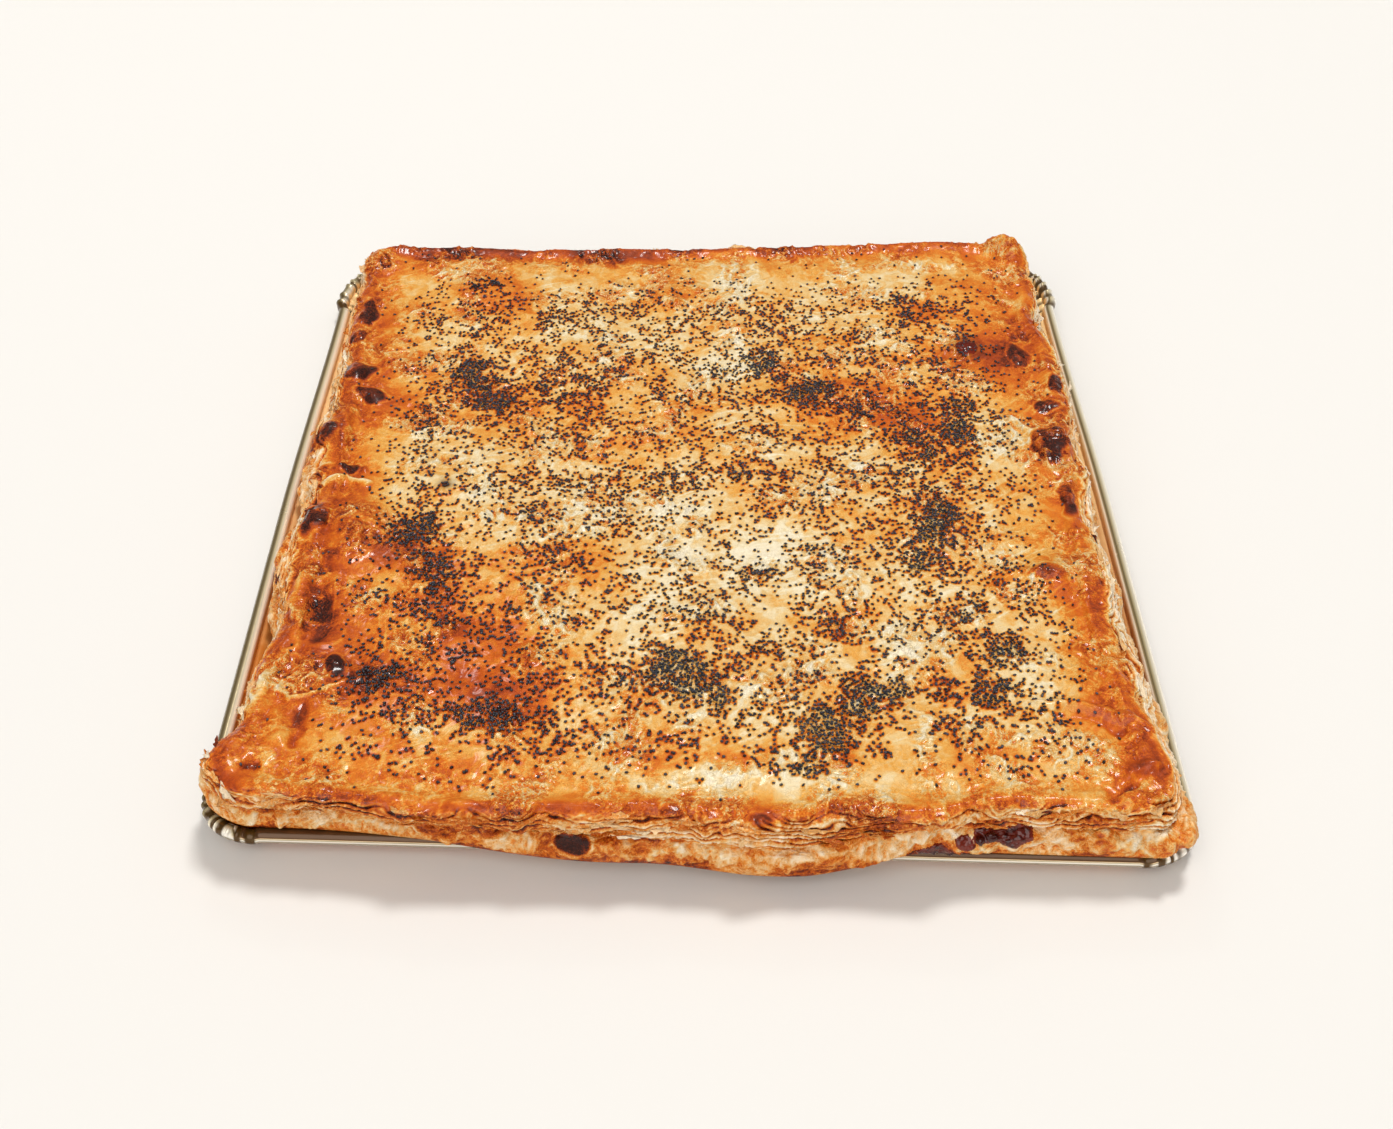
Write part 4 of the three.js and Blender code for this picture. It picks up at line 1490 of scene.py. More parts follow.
@dataclass
class Crust:
    """The baked skin of the parcel: the top sheet, the flaky layers at its edge, and the lower sheet.

    The whole skin is one closed surface. It is cut into pieces only when it is put into meshes.
    """

    plan: ParcelPlan = field(default_factory=ParcelPlan)
    tray: TrayPlan = field(default_factory=TrayPlan)
    browning: Browning = field(default_factory=Browning)
    across: int = 540
    along: int = 640
    layer_rows: int = 42
    sheet_rows: int = 42
    under_insets: tuple[float, ...] = (22.0, 19.0, 16.5, 14.5, 13.0, 11.5, 10.0, 8.5, 7.0, 5.5, 4.2, 3.2,
                                       2.3)
    sheet_pitch: float = 3.6
    leaf_pitch: float = 1.55
    side_hollow_shade: float = 0.5
    top_hollow_shade: float = 0.3
    rim_bleach: float = 0.14
    front_bake: float = 0.63
    back_bake: float = 0.54
    left_bake: float = 0.50
    right_bake: float = 0.40
    gap_shade: float = 0.26
    lip_pallor_and_highlight: float = 0.20
    net_pallor_and_highlight: float = 0.2
    net_height: float = 0.3
    foot_bake: float = 0.18
    seam_shadow: float = 0.24
    ring_bake: float = 0.34
    halo_bake: float = 0.03
    side_swing: float = 0.10
    front_swing: float = 0.07
    fleck_swing: float = 0.06
    sheet_bleach: float = 0.02
    front_bleach: float = 0.07
    crinkle_bleach: float = 0.16
    front_leaves_bake: float = 0.04
    ridge_bake: float = 0.02
    ridge_swing: float = 0.18
    front_ridge_bake: float = 0.09
    speck_char: float = 0.7
    wrinkle_height: float = 0.5
    vein_height: float = 0.55
    thread_height: float = 0.4
    bubble_height: float = 0.85
    pimple_height: float = 0.45
    bulge_height: float = 1.7
    dough_fold_height: float = 1.9
    dough_crinkle_height: float = 0.55
    dough_grain_height: float = 0.2
    leaf_crumple_height: float = 0.35
    roll: float = 0.9
    roll_most: float = 2.6
    swells: Layers = ((0.40, 0.0, 26.0), (0.32, 0.0, 11.0))
    swoops: Layers = ((3.6, 0.0, (34.0, 34.0, 22.0)), (1.6, 5.0, (12.0, 12.0, 8.0)),
                      (0.8, 15.0, (6.0, 6.0, 3.5)))
    rolls: Layers = ((1.4, 15.0, (15.0, 15.0, 40.0)), (0.6, 45.0, (5.0, 5.0, 20.0)))
    side_tones: Layers = ((1.0, 0.0, (15.0, 15.0, 7.0)), (0.5, 8.0, (6.0, 6.0, 3.5)))
    side_flecks: Layers = ((1.0, 28.0, (2.6, 2.6, 1.8)), (0.6, 48.0, 1.2))
    ridge_tones: Layers = ((1.0, 77.0, (16.0, 16.0, 30.0)), (0.4, 0.0, 5.0))
    seed: int = 17
    blisters: tuple[Blister, ...] = (
        Blister(-120, 16, 23, 7.5, 12, 10, 2.2, 0.38, 0.1),
        Blister(-115, -33, 26, 5, 14, 9, 1.8, 0.34, 0.05),
        Blister(-100.5, -101, 28, 5.5, 6.5, 8, 1.3, 0.5, 0.3),
        Blister(-125, -28, 16, 7, 8, 8, 2, 0.1, 0), Blister(-124, -50, 19, 6, 7, 6, 1.8, 0.3, 0.05),
        Blister(-113, 51, 27, 7, 7.5, 9, 1.6, 0.34, 0), Blister(-108, 37, 28, 7, 6, 9, 1.5, 0.38, 0.1),
        Blister(-114, 126, 26, 3.5, 5, 7, 0.5, 0.28, 0), Blister(-115, 91, 27, 3.6, 14, 8, 0.8, 0.3, 0),
        Blister(-117, 74, 27, 3.4, 6.5, 7, 0.6, 0.28, 0), Blister(-119, -4, 25, 4.5, 5, 8, 0.8, 0.38, 0.1),
        Blister(-109, -4, 27, 5.5, 3.5, 8, 0.6, 0.38, 0.1),
        Blister(-118, -12, 26, 1.5, 1.5, 6, 0.3, 0.4, 0.4),
        Blister(115, 31, 27, 6, 6, 8, 1.6, 0.38, 0.1), Blister(113, 6, 27, 7, 14, 9, 1.4, 0.36, 0.05),
        Blister(120, 42, 24, 3.4, 10, 8, 0.8, 0.42, 0.1), Blister(115, -20, 26, 3.6, 13, 8, 0.8, 0.32, 0),
        Blister(110, 62, 27, 6, 10, 8, 1, 0.2, 0), Blister(104, -58, 27, 8, 6, 8, 0.9, 0.22, 0.1),
        Blister(-32.5, -157.5, 14, 5.2, 7, 4.6, -0.6, 0.55, 0.8),
        Blister(-88.5, -149.5, 17.2, 4.2, 7, 3.4, -1.3, 0.5, 0.0),
        # folds down the front
        Blister(-46, -156, 20, 3.4, 5, 7, 1.8, 0.08, 0), Blister(-56, -155, 17, 7, 5, 4, 1.6, 0.12, 0),
        Blister(-70, -153, 14, 9, 5, 4, 1.0, 0.12, 0),
        Blister(-104, -150, 12, 12, 6, 4, 1.2, 0.1, 0), Blister(20, -158, 17, 12, 5, 4, 1.3, 0.06, 0),
        # knobs along the front ridge
        Blister(-98, -151, 26.5, 6, 3.5, 3.5, 1, 0.06, 0),
        Blister(-81, -152.5, 25.5, 9, 3.5, 3.5, 0.9, 0.16, 0),
        Blister(-60, -155, 26, 9, 3.5, 3.5, 0.9, 0.08, 0), Blister(-46, -155, 26, 4, 3, 3.5, 1, 0.08, 0),
        Blister(-6, -158, 26.5, 4.5, 4, 4, 1.6, 0.16, 0), Blister(3.5, -158, 26, 6, 3.5, 3.5, 1.4, 0.12, 0),
        Blister(9.5, -157.5, 27, 2.6, 2.6, 2.6, 0.7, 0.15, 0), Blister(17, -159, 26, 4.5, 4, 4, 1.7, 0.16, 0),
        Blister(29, -158, 26.5, 3.5, 3, 3, 1.2, 0.12, 0), Blister(41, -157, 27, 4, 3, 3, 1, 0.15, 0),
        Blister(62, -158, 26, 4, 3, 3, 1, 0.12, 0), Blister(-117, -147, 17, 6, 6, 5, 1.4, 0.2, 0),
        Blister(64, -156, 12, 15, 7, 6, 0, 0.16, 0), Blister(79, -156, 18, 18, 7, 7.5, 0, 0.2, 0),
        Blister(-127, -136, 22, 9, 9, 7, 1.6, 0.15, 0.1),
    )

    folds: tuple[Fold, ...] = (
        # the left edge, from the front
        Fold(((-122, -123), (-121, -115), (-117, -104), (-113, -92), (-115, -71), (-114, -56)),
             2.2, 0.9, -0.15),
        Fold(((-116, -108), (-113, -114), (-107, -113), (-97, -107)), 1.8, 1.0, -0.18),
        Fold(((-109, -70), (-106, -79), (-107, -87)), 5.0, -1.3, 0.22),
        Fold(((-114, -119), (-113, -130)), 4.0, 1.5, -0.10),
        Fold(((-108, -118), (-108, -131)), 3.0, -1.0, 0.22),
        Fold(((-118, -139), (-116, -140)), 3.4, -1.5, 0.20),
        Fold(((-121, -19), (-118, -28), (-114, -38)), 2.6, 1.6, 0.30),
        Fold(((-117, -12), (-110, -8), (-104, -12)), 1.7, 1.0, -0.25),
        Fold(((-115, -5), (-109, -4), (-104, -6)), 1.7, 0.8, 0.32),
        Fold(((-119, 60), (-121, 40), (-120, 26)), 1.8, 0.8, -0.20),
        # the right edge
        Fold(((94, -117), (105, -117), (115, -121), (121, -124)), 2.8, 1.5, 0.06),
        Fold(((96, -121), (106, -122), (114, -126)), 3.0, -0.8, 0.08),
        Fold(((113, -141), (120, -139)), 3.0, 1.7, 0.22),
        Fold(((108, -150), (114, -146)), 3.4, -1.4, 0.14),
        Fold(((104, 22), (110, 12), (112, 0)), 2.2, 0.9, -0.15),
        Fold(((88, -62), (98, -58), (108, -60)), 2.6, 1.0, 0.16),
    )

    def __post_init__(self) -> None:
        """Lays the skin out, raises its relief and bakes it."""
        self.noise = Noise(self.seed)
        self._lay_out()
        self._raise_relief()
        self._bake()

    def _lay_out(self) -> None:
        """Works out the smooth skin: the top's grid, then rings down the side and under the parcel."""
        u, v = np.meshgrid(np.linspace(-1, 1, self.across + 1), np.linspace(-1, 1, self.along + 1))
        numbers = np.arange(u.size).reshape(u.shape)
        rim = grid_rim(numbers)
        u, v = self.plan.rounded(u, v)
        flat = self.plan.plan(u, v, self.plan.ridge_inset * self.plan.slope(u, v), 1.0)
        gap_across = (1.0 - np.abs(u)) * self.plan.half_width
        gap_along = (1.0 - np.abs(v)) * self.plan.half_length
        edge = self.plan.ridge_inset + np.minimum(gap_across, gap_along)
        height = self.plan.top_height(flat[..., 0], flat[..., 1], edge)
        top = np.concatenate([flat, height[..., None]], axis=-1).reshape(-1, 3)

        rim_u, rim_v = u.ravel()[rim], v.ravel()[rim]
        rings, rise = self._rings(rim_u, rim_v, top[rim, 2])
        ring_count, column_count = rings.shape[:2]
        self.points = np.concatenate([top, rings.reshape(-1, 3)])
        self.edge = np.concatenate([edge.ravel(), np.repeat(self.plan.ridge_inset + (rise - 1.0) * 20.0,
                                                            column_count)])
        self.rise = np.concatenate([np.ones(len(top)), np.repeat(rise, column_count)])
        side_numbers = len(top) + np.arange(ring_count * column_count).reshape(ring_count, column_count)
        self.top_numbers = numbers
        self.seam_row = ring_count - self.layer_rows
        self.side_numbers = np.concatenate([side_numbers, rim[None]])
        all_u = np.concatenate([u.ravel(), np.tile(rim_u, ring_count)])
        all_v = np.concatenate([v.ravel(), np.tile(rim_v, ring_count)])
        size = np.maximum(np.maximum(np.abs(all_u), np.abs(all_v)), 1e-6)
        outward = np.stack([np.sign(all_u) * np.abs(all_u / size) ** 16,
                            np.sign(all_v) * np.abs(all_v / size) ** 16, np.zeros_like(all_u)], axis=-1)
        self.outward = unit(outward)
        self.quads = np.concatenate([grid_quads(numbers), grid_quads(self.side_numbers, closed=True)])

    def _rings(self, rim_u: Array, rim_v: Array, rim_height: Array) -> tuple[Array, Array]:
        """The rings under the parcel and up its side. Their distance in, their share of the height and
        their pinch follow the side's profile, smoothed by averaging neighbours.

        Args:
            rim_u: the outline's places across.
            rim_v: the outline's places along.
            rim_height: the top sheet's height along the outline.

        Returns:
            The rings' points, from the innermost under the parcel up, and each ring's rise.
        """
        profile = np.array(self.plan.profile)
        seam = self.plan.seam
        low_rise = np.linspace(0.0, seam, self.sheet_rows + 1)[:-1]
        high_rise = np.linspace(seam, 1.0, self.layer_rows + 1)
        rise = np.concatenate([low_rise, high_rise])
        inset = np.interp(rise, profile[:, 0], profile[:, 1])
        pinch = np.interp(rise, profile[:, 0], profile[:, 2])
        for values in (inset, pinch):
            for _ in range(24):
                values[1:-1] = 0.25 * values[:-2] + 0.5 * values[1:-1] + 0.25 * values[2:]
        pinch += 0.8 * bump(rise, seam, 0.05)

        outline = self.plan.plan(rim_u, rim_v)
        x, y = outline[..., 0], outline[..., 1]
        tight = 0.9 + 0.4 * np.sin(x / 11.0 - y / 31.0) + 0.3 * np.sin(x / 29.0 + y / 9.0 + 2.0)
        wander = 0.6 * np.sin(x / 23.0 + y / 19.0 + 1.0) + 0.4 * np.sin(x / 8.0 - y / 12.0)
        foot = self.plan.plan(rim_u, rim_v, self.plan.profile[0][1])
        low = self.tray.resting_height(foot[..., 0], foot[..., 1], self.plan.lift)
        share = rise[:, None] + self.plan.seam_drift * wander * np.minimum(pinch, 1.0)[:, None]
        height = low + (rim_height - low) * share
        depth = inset[:, None] * self.plan.slope(rim_u, rim_v) + pinch[:, None] * tight
        overhang = np.broadcast_to(smooth(rise, 0.3, 0.9)[:, None], depth.shape)
        flat = self.plan.plan(np.broadcast_to(rim_u, depth.shape), np.broadcast_to(rim_v, depth.shape), depth,
                              overhang)
        side = np.concatenate([flat, height[..., None]], axis=-1)[:-1]

        under = []
        for value in self.under_insets:
            ring = self.plan.plan(rim_u, rim_v, value)
            level = self.tray.resting_height(ring[..., 0], ring[..., 1], self.plan.lift)
            under.append(np.concatenate([ring, level[..., None]], axis=-1))
        rings = np.concatenate([np.array(under), side])
        under_rise = np.linspace(-0.3, -0.02, len(under))
        return rings, np.concatenate([under_rise, rise[:-1]])

    def _raise_relief(self) -> None:
        """Raises the fine relief along the smooth skin's own normals."""
        points, rise = self.points, self.rise
        smooth_normals = vertex_normals(points, self.quads)
        on_top = smooth(rise, 0.92, 1.0)
        bottom = 1.0 - smooth(rise, 0.0, 0.12)
        bent = (points + 2.6 * self.noise.three(points + 11.0, 11.0)
                + 0.9 * self.noise.three(points + 7.0, 4.0))
        top_relief = self._top_relief(bent)
        knobs = np.zeros(len(points))
        self.knob_bake = np.zeros(len(points))
        self.knob_char = np.zeros(len(points))
        rims = np.zeros(len(points))
        for blister in self.blisters:
            reach = blister.reach(bent)
            knobs = knobs + blister.out * reach
            self.knob_bake = np.maximum(self.knob_bake, blister.bake * smooth(reach, 0.14, 0.4))
            rims = rims + self.rim_bleach * bump(reach, 0.1, 0.09)
            self.knob_char = np.maximum(self.knob_char, blister.char * smooth(reach, 0.15, 0.7))
        self.knob_bake = self.knob_bake - rims

        seam = self.plan.seam
        layered = smooth(rise, seam - 0.02, seam + 0.03) * (1.0 - smooth(rise, 0.90, 0.99))
        lower = smooth(rise, 0.04, 0.14) * (1.0 - smooth(rise, seam - 0.03, seam))
        self.side_net = np.maximum(self.noise.crests(bent + 19.0, 3.0),
                                   0.7 * self.noise.crests(bent + 90.0, 1.5))
        side_relief = layered * self._leaves(bent) + lower * self._dough_folds(bent)
        self.leafy = self.leafy * layered
        side_relief = side_relief + self.net_height * (layered + lower) * self.side_net
        amount = (on_top + 0.35 * (1.0 - on_top)) * top_relief * (1.0 - bottom) + side_relief + knobs
        self.detail = np.zeros(len(points))
        for numbers in (self.top_numbers, self.side_numbers[:-1]):
            self.detail[numbers] = amount[numbers] - soften(amount[numbers], 6)
        moved = points + smooth_normals * amount[:, None] + self.outward * self._lip()[:, None]
        self.points = moved + bottom[:, None] * (points - moved) * (0.0, 0.0, 1.0)
        self.normals = vertex_normals(self.points, self.quads)

    def _top_relief(self, bent: Array) -> Array:
        """The top sheet's relief: long swells, wrinkles and crinkles that are the noise's size without
        its sign, so that sharp valleys part rounded crests, and two sizes of bubbles.

        Args:
            bent: the skin's points, moved a little by noise.

        Returns:
            How far the surface stands out, in millimetres.
        """
        noise, points = self.noise, self.points
        near_edge = 1.0 - smooth(self.edge, 9.0, 30.0)
        self.crinkled = np.maximum(0.55 * near_edge, 0.08 + 0.92 * smooth(noise.at(points, 24.0), -0.15, 0.3))
        self.crinkled = np.clip(self.crinkled * (0.6 + 1.1 * noise.at(points + 33.0, 9.0)) + 0.12, 0.05, 1.0)
        self.crinkled = np.where(self.rise < 0.8, 0.45, self.crinkled)
        wrinkles = noise.creases(bent, (5.5, 8.0, 7.0)) - 0.5
        veins = noise.crests(bent + 70.0, (6.0, 8.5, 8.0))
        threads = noise.crests(bent + 140.0, (2.6, 3.4, 3.4))
        bubbles = noise.domes(bent, 8.2, 4.4, 0.34) * (0.3 + 0.7 * self.crinkled)
        pimples = noise.domes(bent + 31.0, 3.4, 1.8, 0.45) * self.crinkled
        lines = 0.3 - 0.3 * wrinkles - 0.9 * veins - 0.8 * threads
        self.fine = np.clip(0.8 * bubbles + 0.5 * pimples + self.crinkled * lines, -1.0, 1.0)
        self.fold_bake = np.zeros(len(points))
        folds = np.zeros(len(points))
        near_top = smooth(self.rise, 0.75, 0.95)
        for fold in self.folds:
            reach = fold.reach(bent[:, 0], bent[:, 1]) * near_top
            folds = folds + fold.high * reach
            self.fold_bake = self.fold_bake + fold.bake * reach
        lines = self.wrinkle_height * wrinkles + self.vein_height * veins + self.thread_height * threads
        return (noise.layers(points, self.swells) + folds + self.crinkled * lines
                + self.bubble_height * bubbles + self.pimple_height * pimples)

    def _leaves(self, bent: Array) -> Array:
        """The flaky layers: the height, moved up and down by noise, is cut into thick sheets, and each
        of those into thin leaves. Each one juts out by its own noise, stands proudest at its lower lip,
        and a narrow gap parts it from the next.

        Args:
            bent: the skin's points, moved a little by noise.

        Returns:
            How far the surface stands out, in millimetres.
        """
        noise, points = self.noise, self.points
        height = bent[:, 2] + noise.layers(points, self.swoops)
        self.leaf = height / self.leaf_pitch
        total = np.zeros(len(points))
        self.gap = np.zeros(len(points))
        self.lip_share = np.zeros(len(points))
        apart = 9.7  # leaves are read this far apart in the noise, so that each has its own
        thin = 0.25 + 0.75 * smooth(noise.at(points + 200.0, (22.0, 22.0, 10.0)), -0.4, 0.3)
        for pitch, reach, jutting, strength in ((self.sheet_pitch, 22.0, 1.3, 1.0),
                                                (self.leaf_pitch, 9.0, 0.55, thin)):
            phase = height / pitch
            number = np.floor(phase)
            share = phase - number
            own = np.stack([points[:, 0], points[:, 1], number * apart], axis=-1)
            jut = noise.layers(own, ((1.0, 0.0, (reach, reach, apart)),
                                     (0.4, 60.0, (0.3 * reach, 0.3 * reach, apart))))
            gap = np.exp(-((share / 0.13) ** 2)) + np.exp(-(((1.0 - share) / 0.10) ** 2))
            gap = np.minimum(gap, 1.0)
            total += strength * jutting * (jut + 0.55 * (1.0 - share) ** 1.5 - 0.75 * gap)
            self.gap = np.maximum(self.gap, gap * strength * (0.6 if pitch == self.leaf_pitch else 1.0))
            self.lip_share += strength * 0.5 * (1.0 - share) ** 2
        self.leafy = thin
        crumple = noise.creases(bent + 130.0, (2.2, 2.2, 1.8)) - 0.5
        return total + self.leaf_crumple_height * crumple

    def _dough_folds(self, bent: Array) -> Array:
        """The lower sheet's skin: bulges, upright folds parted by creases, crinkles and grain.

        Args:
            bent: the skin's points, moved a little by noise.

        Returns:
            How far the surface stands out, in millimetres.
        """
        noise = self.noise
        bulges = self.bulge_height * noise.at(self.points, (15.0, 15.0, 9.0))
        folds = self.dough_fold_height * (noise.creases(bent, (9.0, 9.0, 16.0)) - 0.5)
        self.crinkle = noise.creases(bent + 55.0, (3.0, 3.0, 3.6)) - 0.5
        grain = noise.creases(bent + 95.0, (1.5, 1.5, 1.5)) - 0.5
        return bulges + folds + self.dough_crinkle_height * self.crinkle + self.dough_grain_height * grain

    def _lip(self) -> Array:
        """The top sheet's edge rolls out over the layers beneath it, more in some places than others.

        Returns:
            How far each point moves outwards, in millimetres.
        """
        strength = np.clip(self.roll + self.noise.layers(self.points, self.rolls), 0.0, self.roll_most)
        return strength * bump(self.edge, self.plan.ridge_inset - 1.2, 2.8)

    def _bake(self) -> None:
        """Works out how far each point of the skin baked, how burnt it is and how dry. The bake also
        carries painted shade in the hollows, in the gaps between leaves and at the seam, and paler leaf lips
        and crests that are partly a painted highlight.
        """
        noise, points, rise = self.noise, self.points, self.rise
        top = self.browning.top(points, self.edge, self.fine, self.crinkled, noise)
        x = points[:, 0]
        out_x, out_y = self.outward[:, 0], self.outward[:, 1]
        front = np.clip(-out_y, 0, 1)
        back, left, right = [np.clip(out, 0, 1) for out in (out_y, -out_x, out_x)]
        base = (self.front_bake * front + self.back_bake * back
                + self.left_bake * left + self.right_bake * right)
        base = base / np.maximum(np.abs(out_x) + np.abs(out_y), TINY)
        swing = self.side_swing + self.front_swing * front
        side = base + swing * sharpen(noise.layers(points, self.side_tones), 0.4)
        side = side + self.fleck_swing * sharpen(noise.layers(points, self.side_flecks), 0.35)
        layered = smooth(rise, self.plan.seam, self.plan.seam + 0.05)
        # Painted shade darkens the gaps between leaves; their lips are paled, partly a painted highlight.
        side = side + layered * (self.gap_shade * self.gap - self.lip_pallor_and_highlight * self.lip_share)
        # The side's net of crests is paled, partly a painted highlight.
        side = side - self.net_pallor_and_highlight * self.side_net
        paler = self.sheet_bleach + front * self.front_bleach * (1.0 + smooth(x, 40.0, 110.0))
        side = side - (1.0 - layered) * (paler + self.crinkle_bleach * self.crinkle)
        side = side + self.front_leaves_bake * layered * front
        foot = 1.0 - smooth(rise, 0.05, 0.22)
        # The foot is browner; painted shadow darkens a narrow band at the seam under the overhanging layers.
        side = side + self.foot_bake * foot + self.seam_shadow * bump(rise, self.plan.seam, 0.03)
        ridge = bump(self.edge, self.plan.ridge_inset - 0.7, 2.6)
        ridge_noise = smooth(noise.layers(points, self.ridge_tones), -0.4, 0.4)
        front = front * smooth(x, -128.0, -105.0) * (1.0 - smooth(x, 62.0, 84.0))
        blend = smooth(rise, 0.88, 0.99)
        side = side + blend * (np.clip(top, 0.0, 0.62) - side)
        bake = np.where(rise < 1.0, side, top)
        ridge = ridge * (self.ridge_bake + self.ridge_swing * ridge_noise + self.front_ridge_bake * front)
        bake = bake + ridge * (1.0 - smooth(bake, 0.45, 0.8))
        bake = bake + self.knob_bake + self.fold_bake
        # Painted shade: the colour is browned in the relief's hollows and paled on its raised bits, more on
        # the layered side.
        hollow_shade = np.where(rise < 1.0, self.side_hollow_shade * (0.3 + 0.6 * layered), self.top_hollow_shade)
        bake = bake - hollow_shade * np.clip(self.detail, -0.7, 0.7)
        char = self.browning.burnt(points, noise) * smooth(rise, 0.5, 0.9) + self.knob_char
        speck = smooth(noise.domes(points + 9.0, 5.0, 1.5, 0.10), 0.1, 0.6) * (1.0 - 0.85 * blend)
        self.char = np.clip(char + self.speck_char * speck * smooth(left, 0.3, 0.8), 0.0, 1.0)
        self.bake = np.clip(bake, 0.0, 1.0)
        glaze_runs = 0.5 * smooth(noise.at(points + 140.0, (12.0, 12.0, 20.0)), -0.1, 0.4)
        self.dry = np.clip(1.0 - smooth(rise, 0.82, 0.97) - glaze_runs, 0.0, 1.0) * (rise < 1.0)

    def stain(self, u: Array, v: Array) -> None:
        """Browns the glaze round each seed, where the egg wash gathers: the seeds are counted at the
        grid's points, and the counts are blurred.

        Args:
            u: the seeds' places across, -1 to 1.
            v: the seeds' places along, -1 to 1.
        """
        count = np.zeros(self.top_numbers.shape)
        column = np.rint((u + 1.0) / 2.0 * self.across).astype(int)
        row = np.rint((v + 1.0) / 2.0 * self.along).astype(int)
        np.add.at(count, (row, column), 1.0)
        ring = smooth(soften(count, 2), 0.02, 0.15).ravel()
        top = self.top_numbers.ravel()
        near = smooth(soften(count, 24), 0.03, 0.14).ravel()
        ring = ring * (1.0 - 0.85 * smooth(soften(count, 12), 0.12, 0.24).ravel())
        self.crinkled[top] = np.maximum(self.crinkled[top], 0.75 * near)
        self.bake[top] = np.clip(self.bake[top] + self.halo_bake * near, 0, 1)
        unburnt = 1.0 - smooth(self.bake[top], 0.45, 0.75)
        self.bake[top] = np.clip(self.bake[top] + self.ring_bake * ring * unburnt, 0, 1)

    def _piece(self, name: str, quads: Array, floor: Array | None = None) -> Piece:
        """Cuts some of the skin's faces out as a piece, with their own shading and attributes.

        Args:
            name: the piece's name.
            quads: its faces, by the skin's vertex numbers.
            floor: a ring of vertex numbers to close with one flat face, or none.

        Returns:
            The piece.
        """
        used, own = np.unique(quads, return_inverse=True)
        closing = () if floor is None else (np.searchsorted(used, floor),)
        return add_mesh(name, self.points[used], own.reshape(-1, 4), self.normals[used], closing,
                        bake=self.bake[used], char=self.char[used], dry=self.dry[used],
                        leaf=self.leaf[used], leafy=self.leafy[used], rough=self.crinkled[used])

    def build(self, material: Material) -> None:
        """Makes the crust's pieces: the top in strips, the layers, the lower sheet and the underside.

        Args:
            material: the crust's finish.
        """
        strips = ("crust_top_front", "crust_top_near_middle", "crust_top_far_middle", "crust_top_back")
        step = self.along // len(strips)
        pieces = {name: grid_quads(self.top_numbers[index * step: (index + 1) * step + 1])
                  for index, name in enumerate(strips)}
        foot = len(self.under_insets)
        pieces["crust_upper_layers"] = grid_quads(self.side_numbers[self.seam_row:], closed=True)
        pieces["crust_lower_sheet"] = grid_quads(self.side_numbers[foot: self.seam_row + 1], closed=True)
        for name, quads in pieces.items():
            dress(self._piece(name, quads), material, Slot.CRUST, "pastry")
        under = grid_quads(self.side_numbers[: foot + 1], closed=True)
        floor = self.side_numbers[0][::-1]
        dress(self._piece("crust_underside", under, floor), material, Slot.CRUST, "pastry")

    def on_top(self, u: Array, v: Array) -> tuple[Array, Array]:
        """Finds places on the finished top sheet by blending the four grid points round each.

        Args:
            u: the places across, -1 to 1.
            v: the places along, -1 to 1.

        Returns:
            The points, and the skin's normals there.
        """
        column = (u + 1.0) / 2.0 * self.across
        row = (v + 1.0) / 2.0 * self.along
        left = np.clip(np.floor(column).astype(int), 0, self.across - 1)
        near = np.clip(np.floor(row).astype(int), 0, self.along - 1)
        right_share = (column - left)[:, None]
        far_share = (row - near)[:, None]
        found = []
        for values in (self.points, self.normals):
            grid = values[self.top_numbers]
            front = grid[near, left] * (1 - right_share) + grid[near, left + 1] * right_share
            back = grid[near + 1, left] * (1 - right_share) + grid[near + 1, left + 1] * right_share
            found.append(front * (1 - far_share) + back * far_share)
        return found[0], unit(found[1])


# ---- the seeds


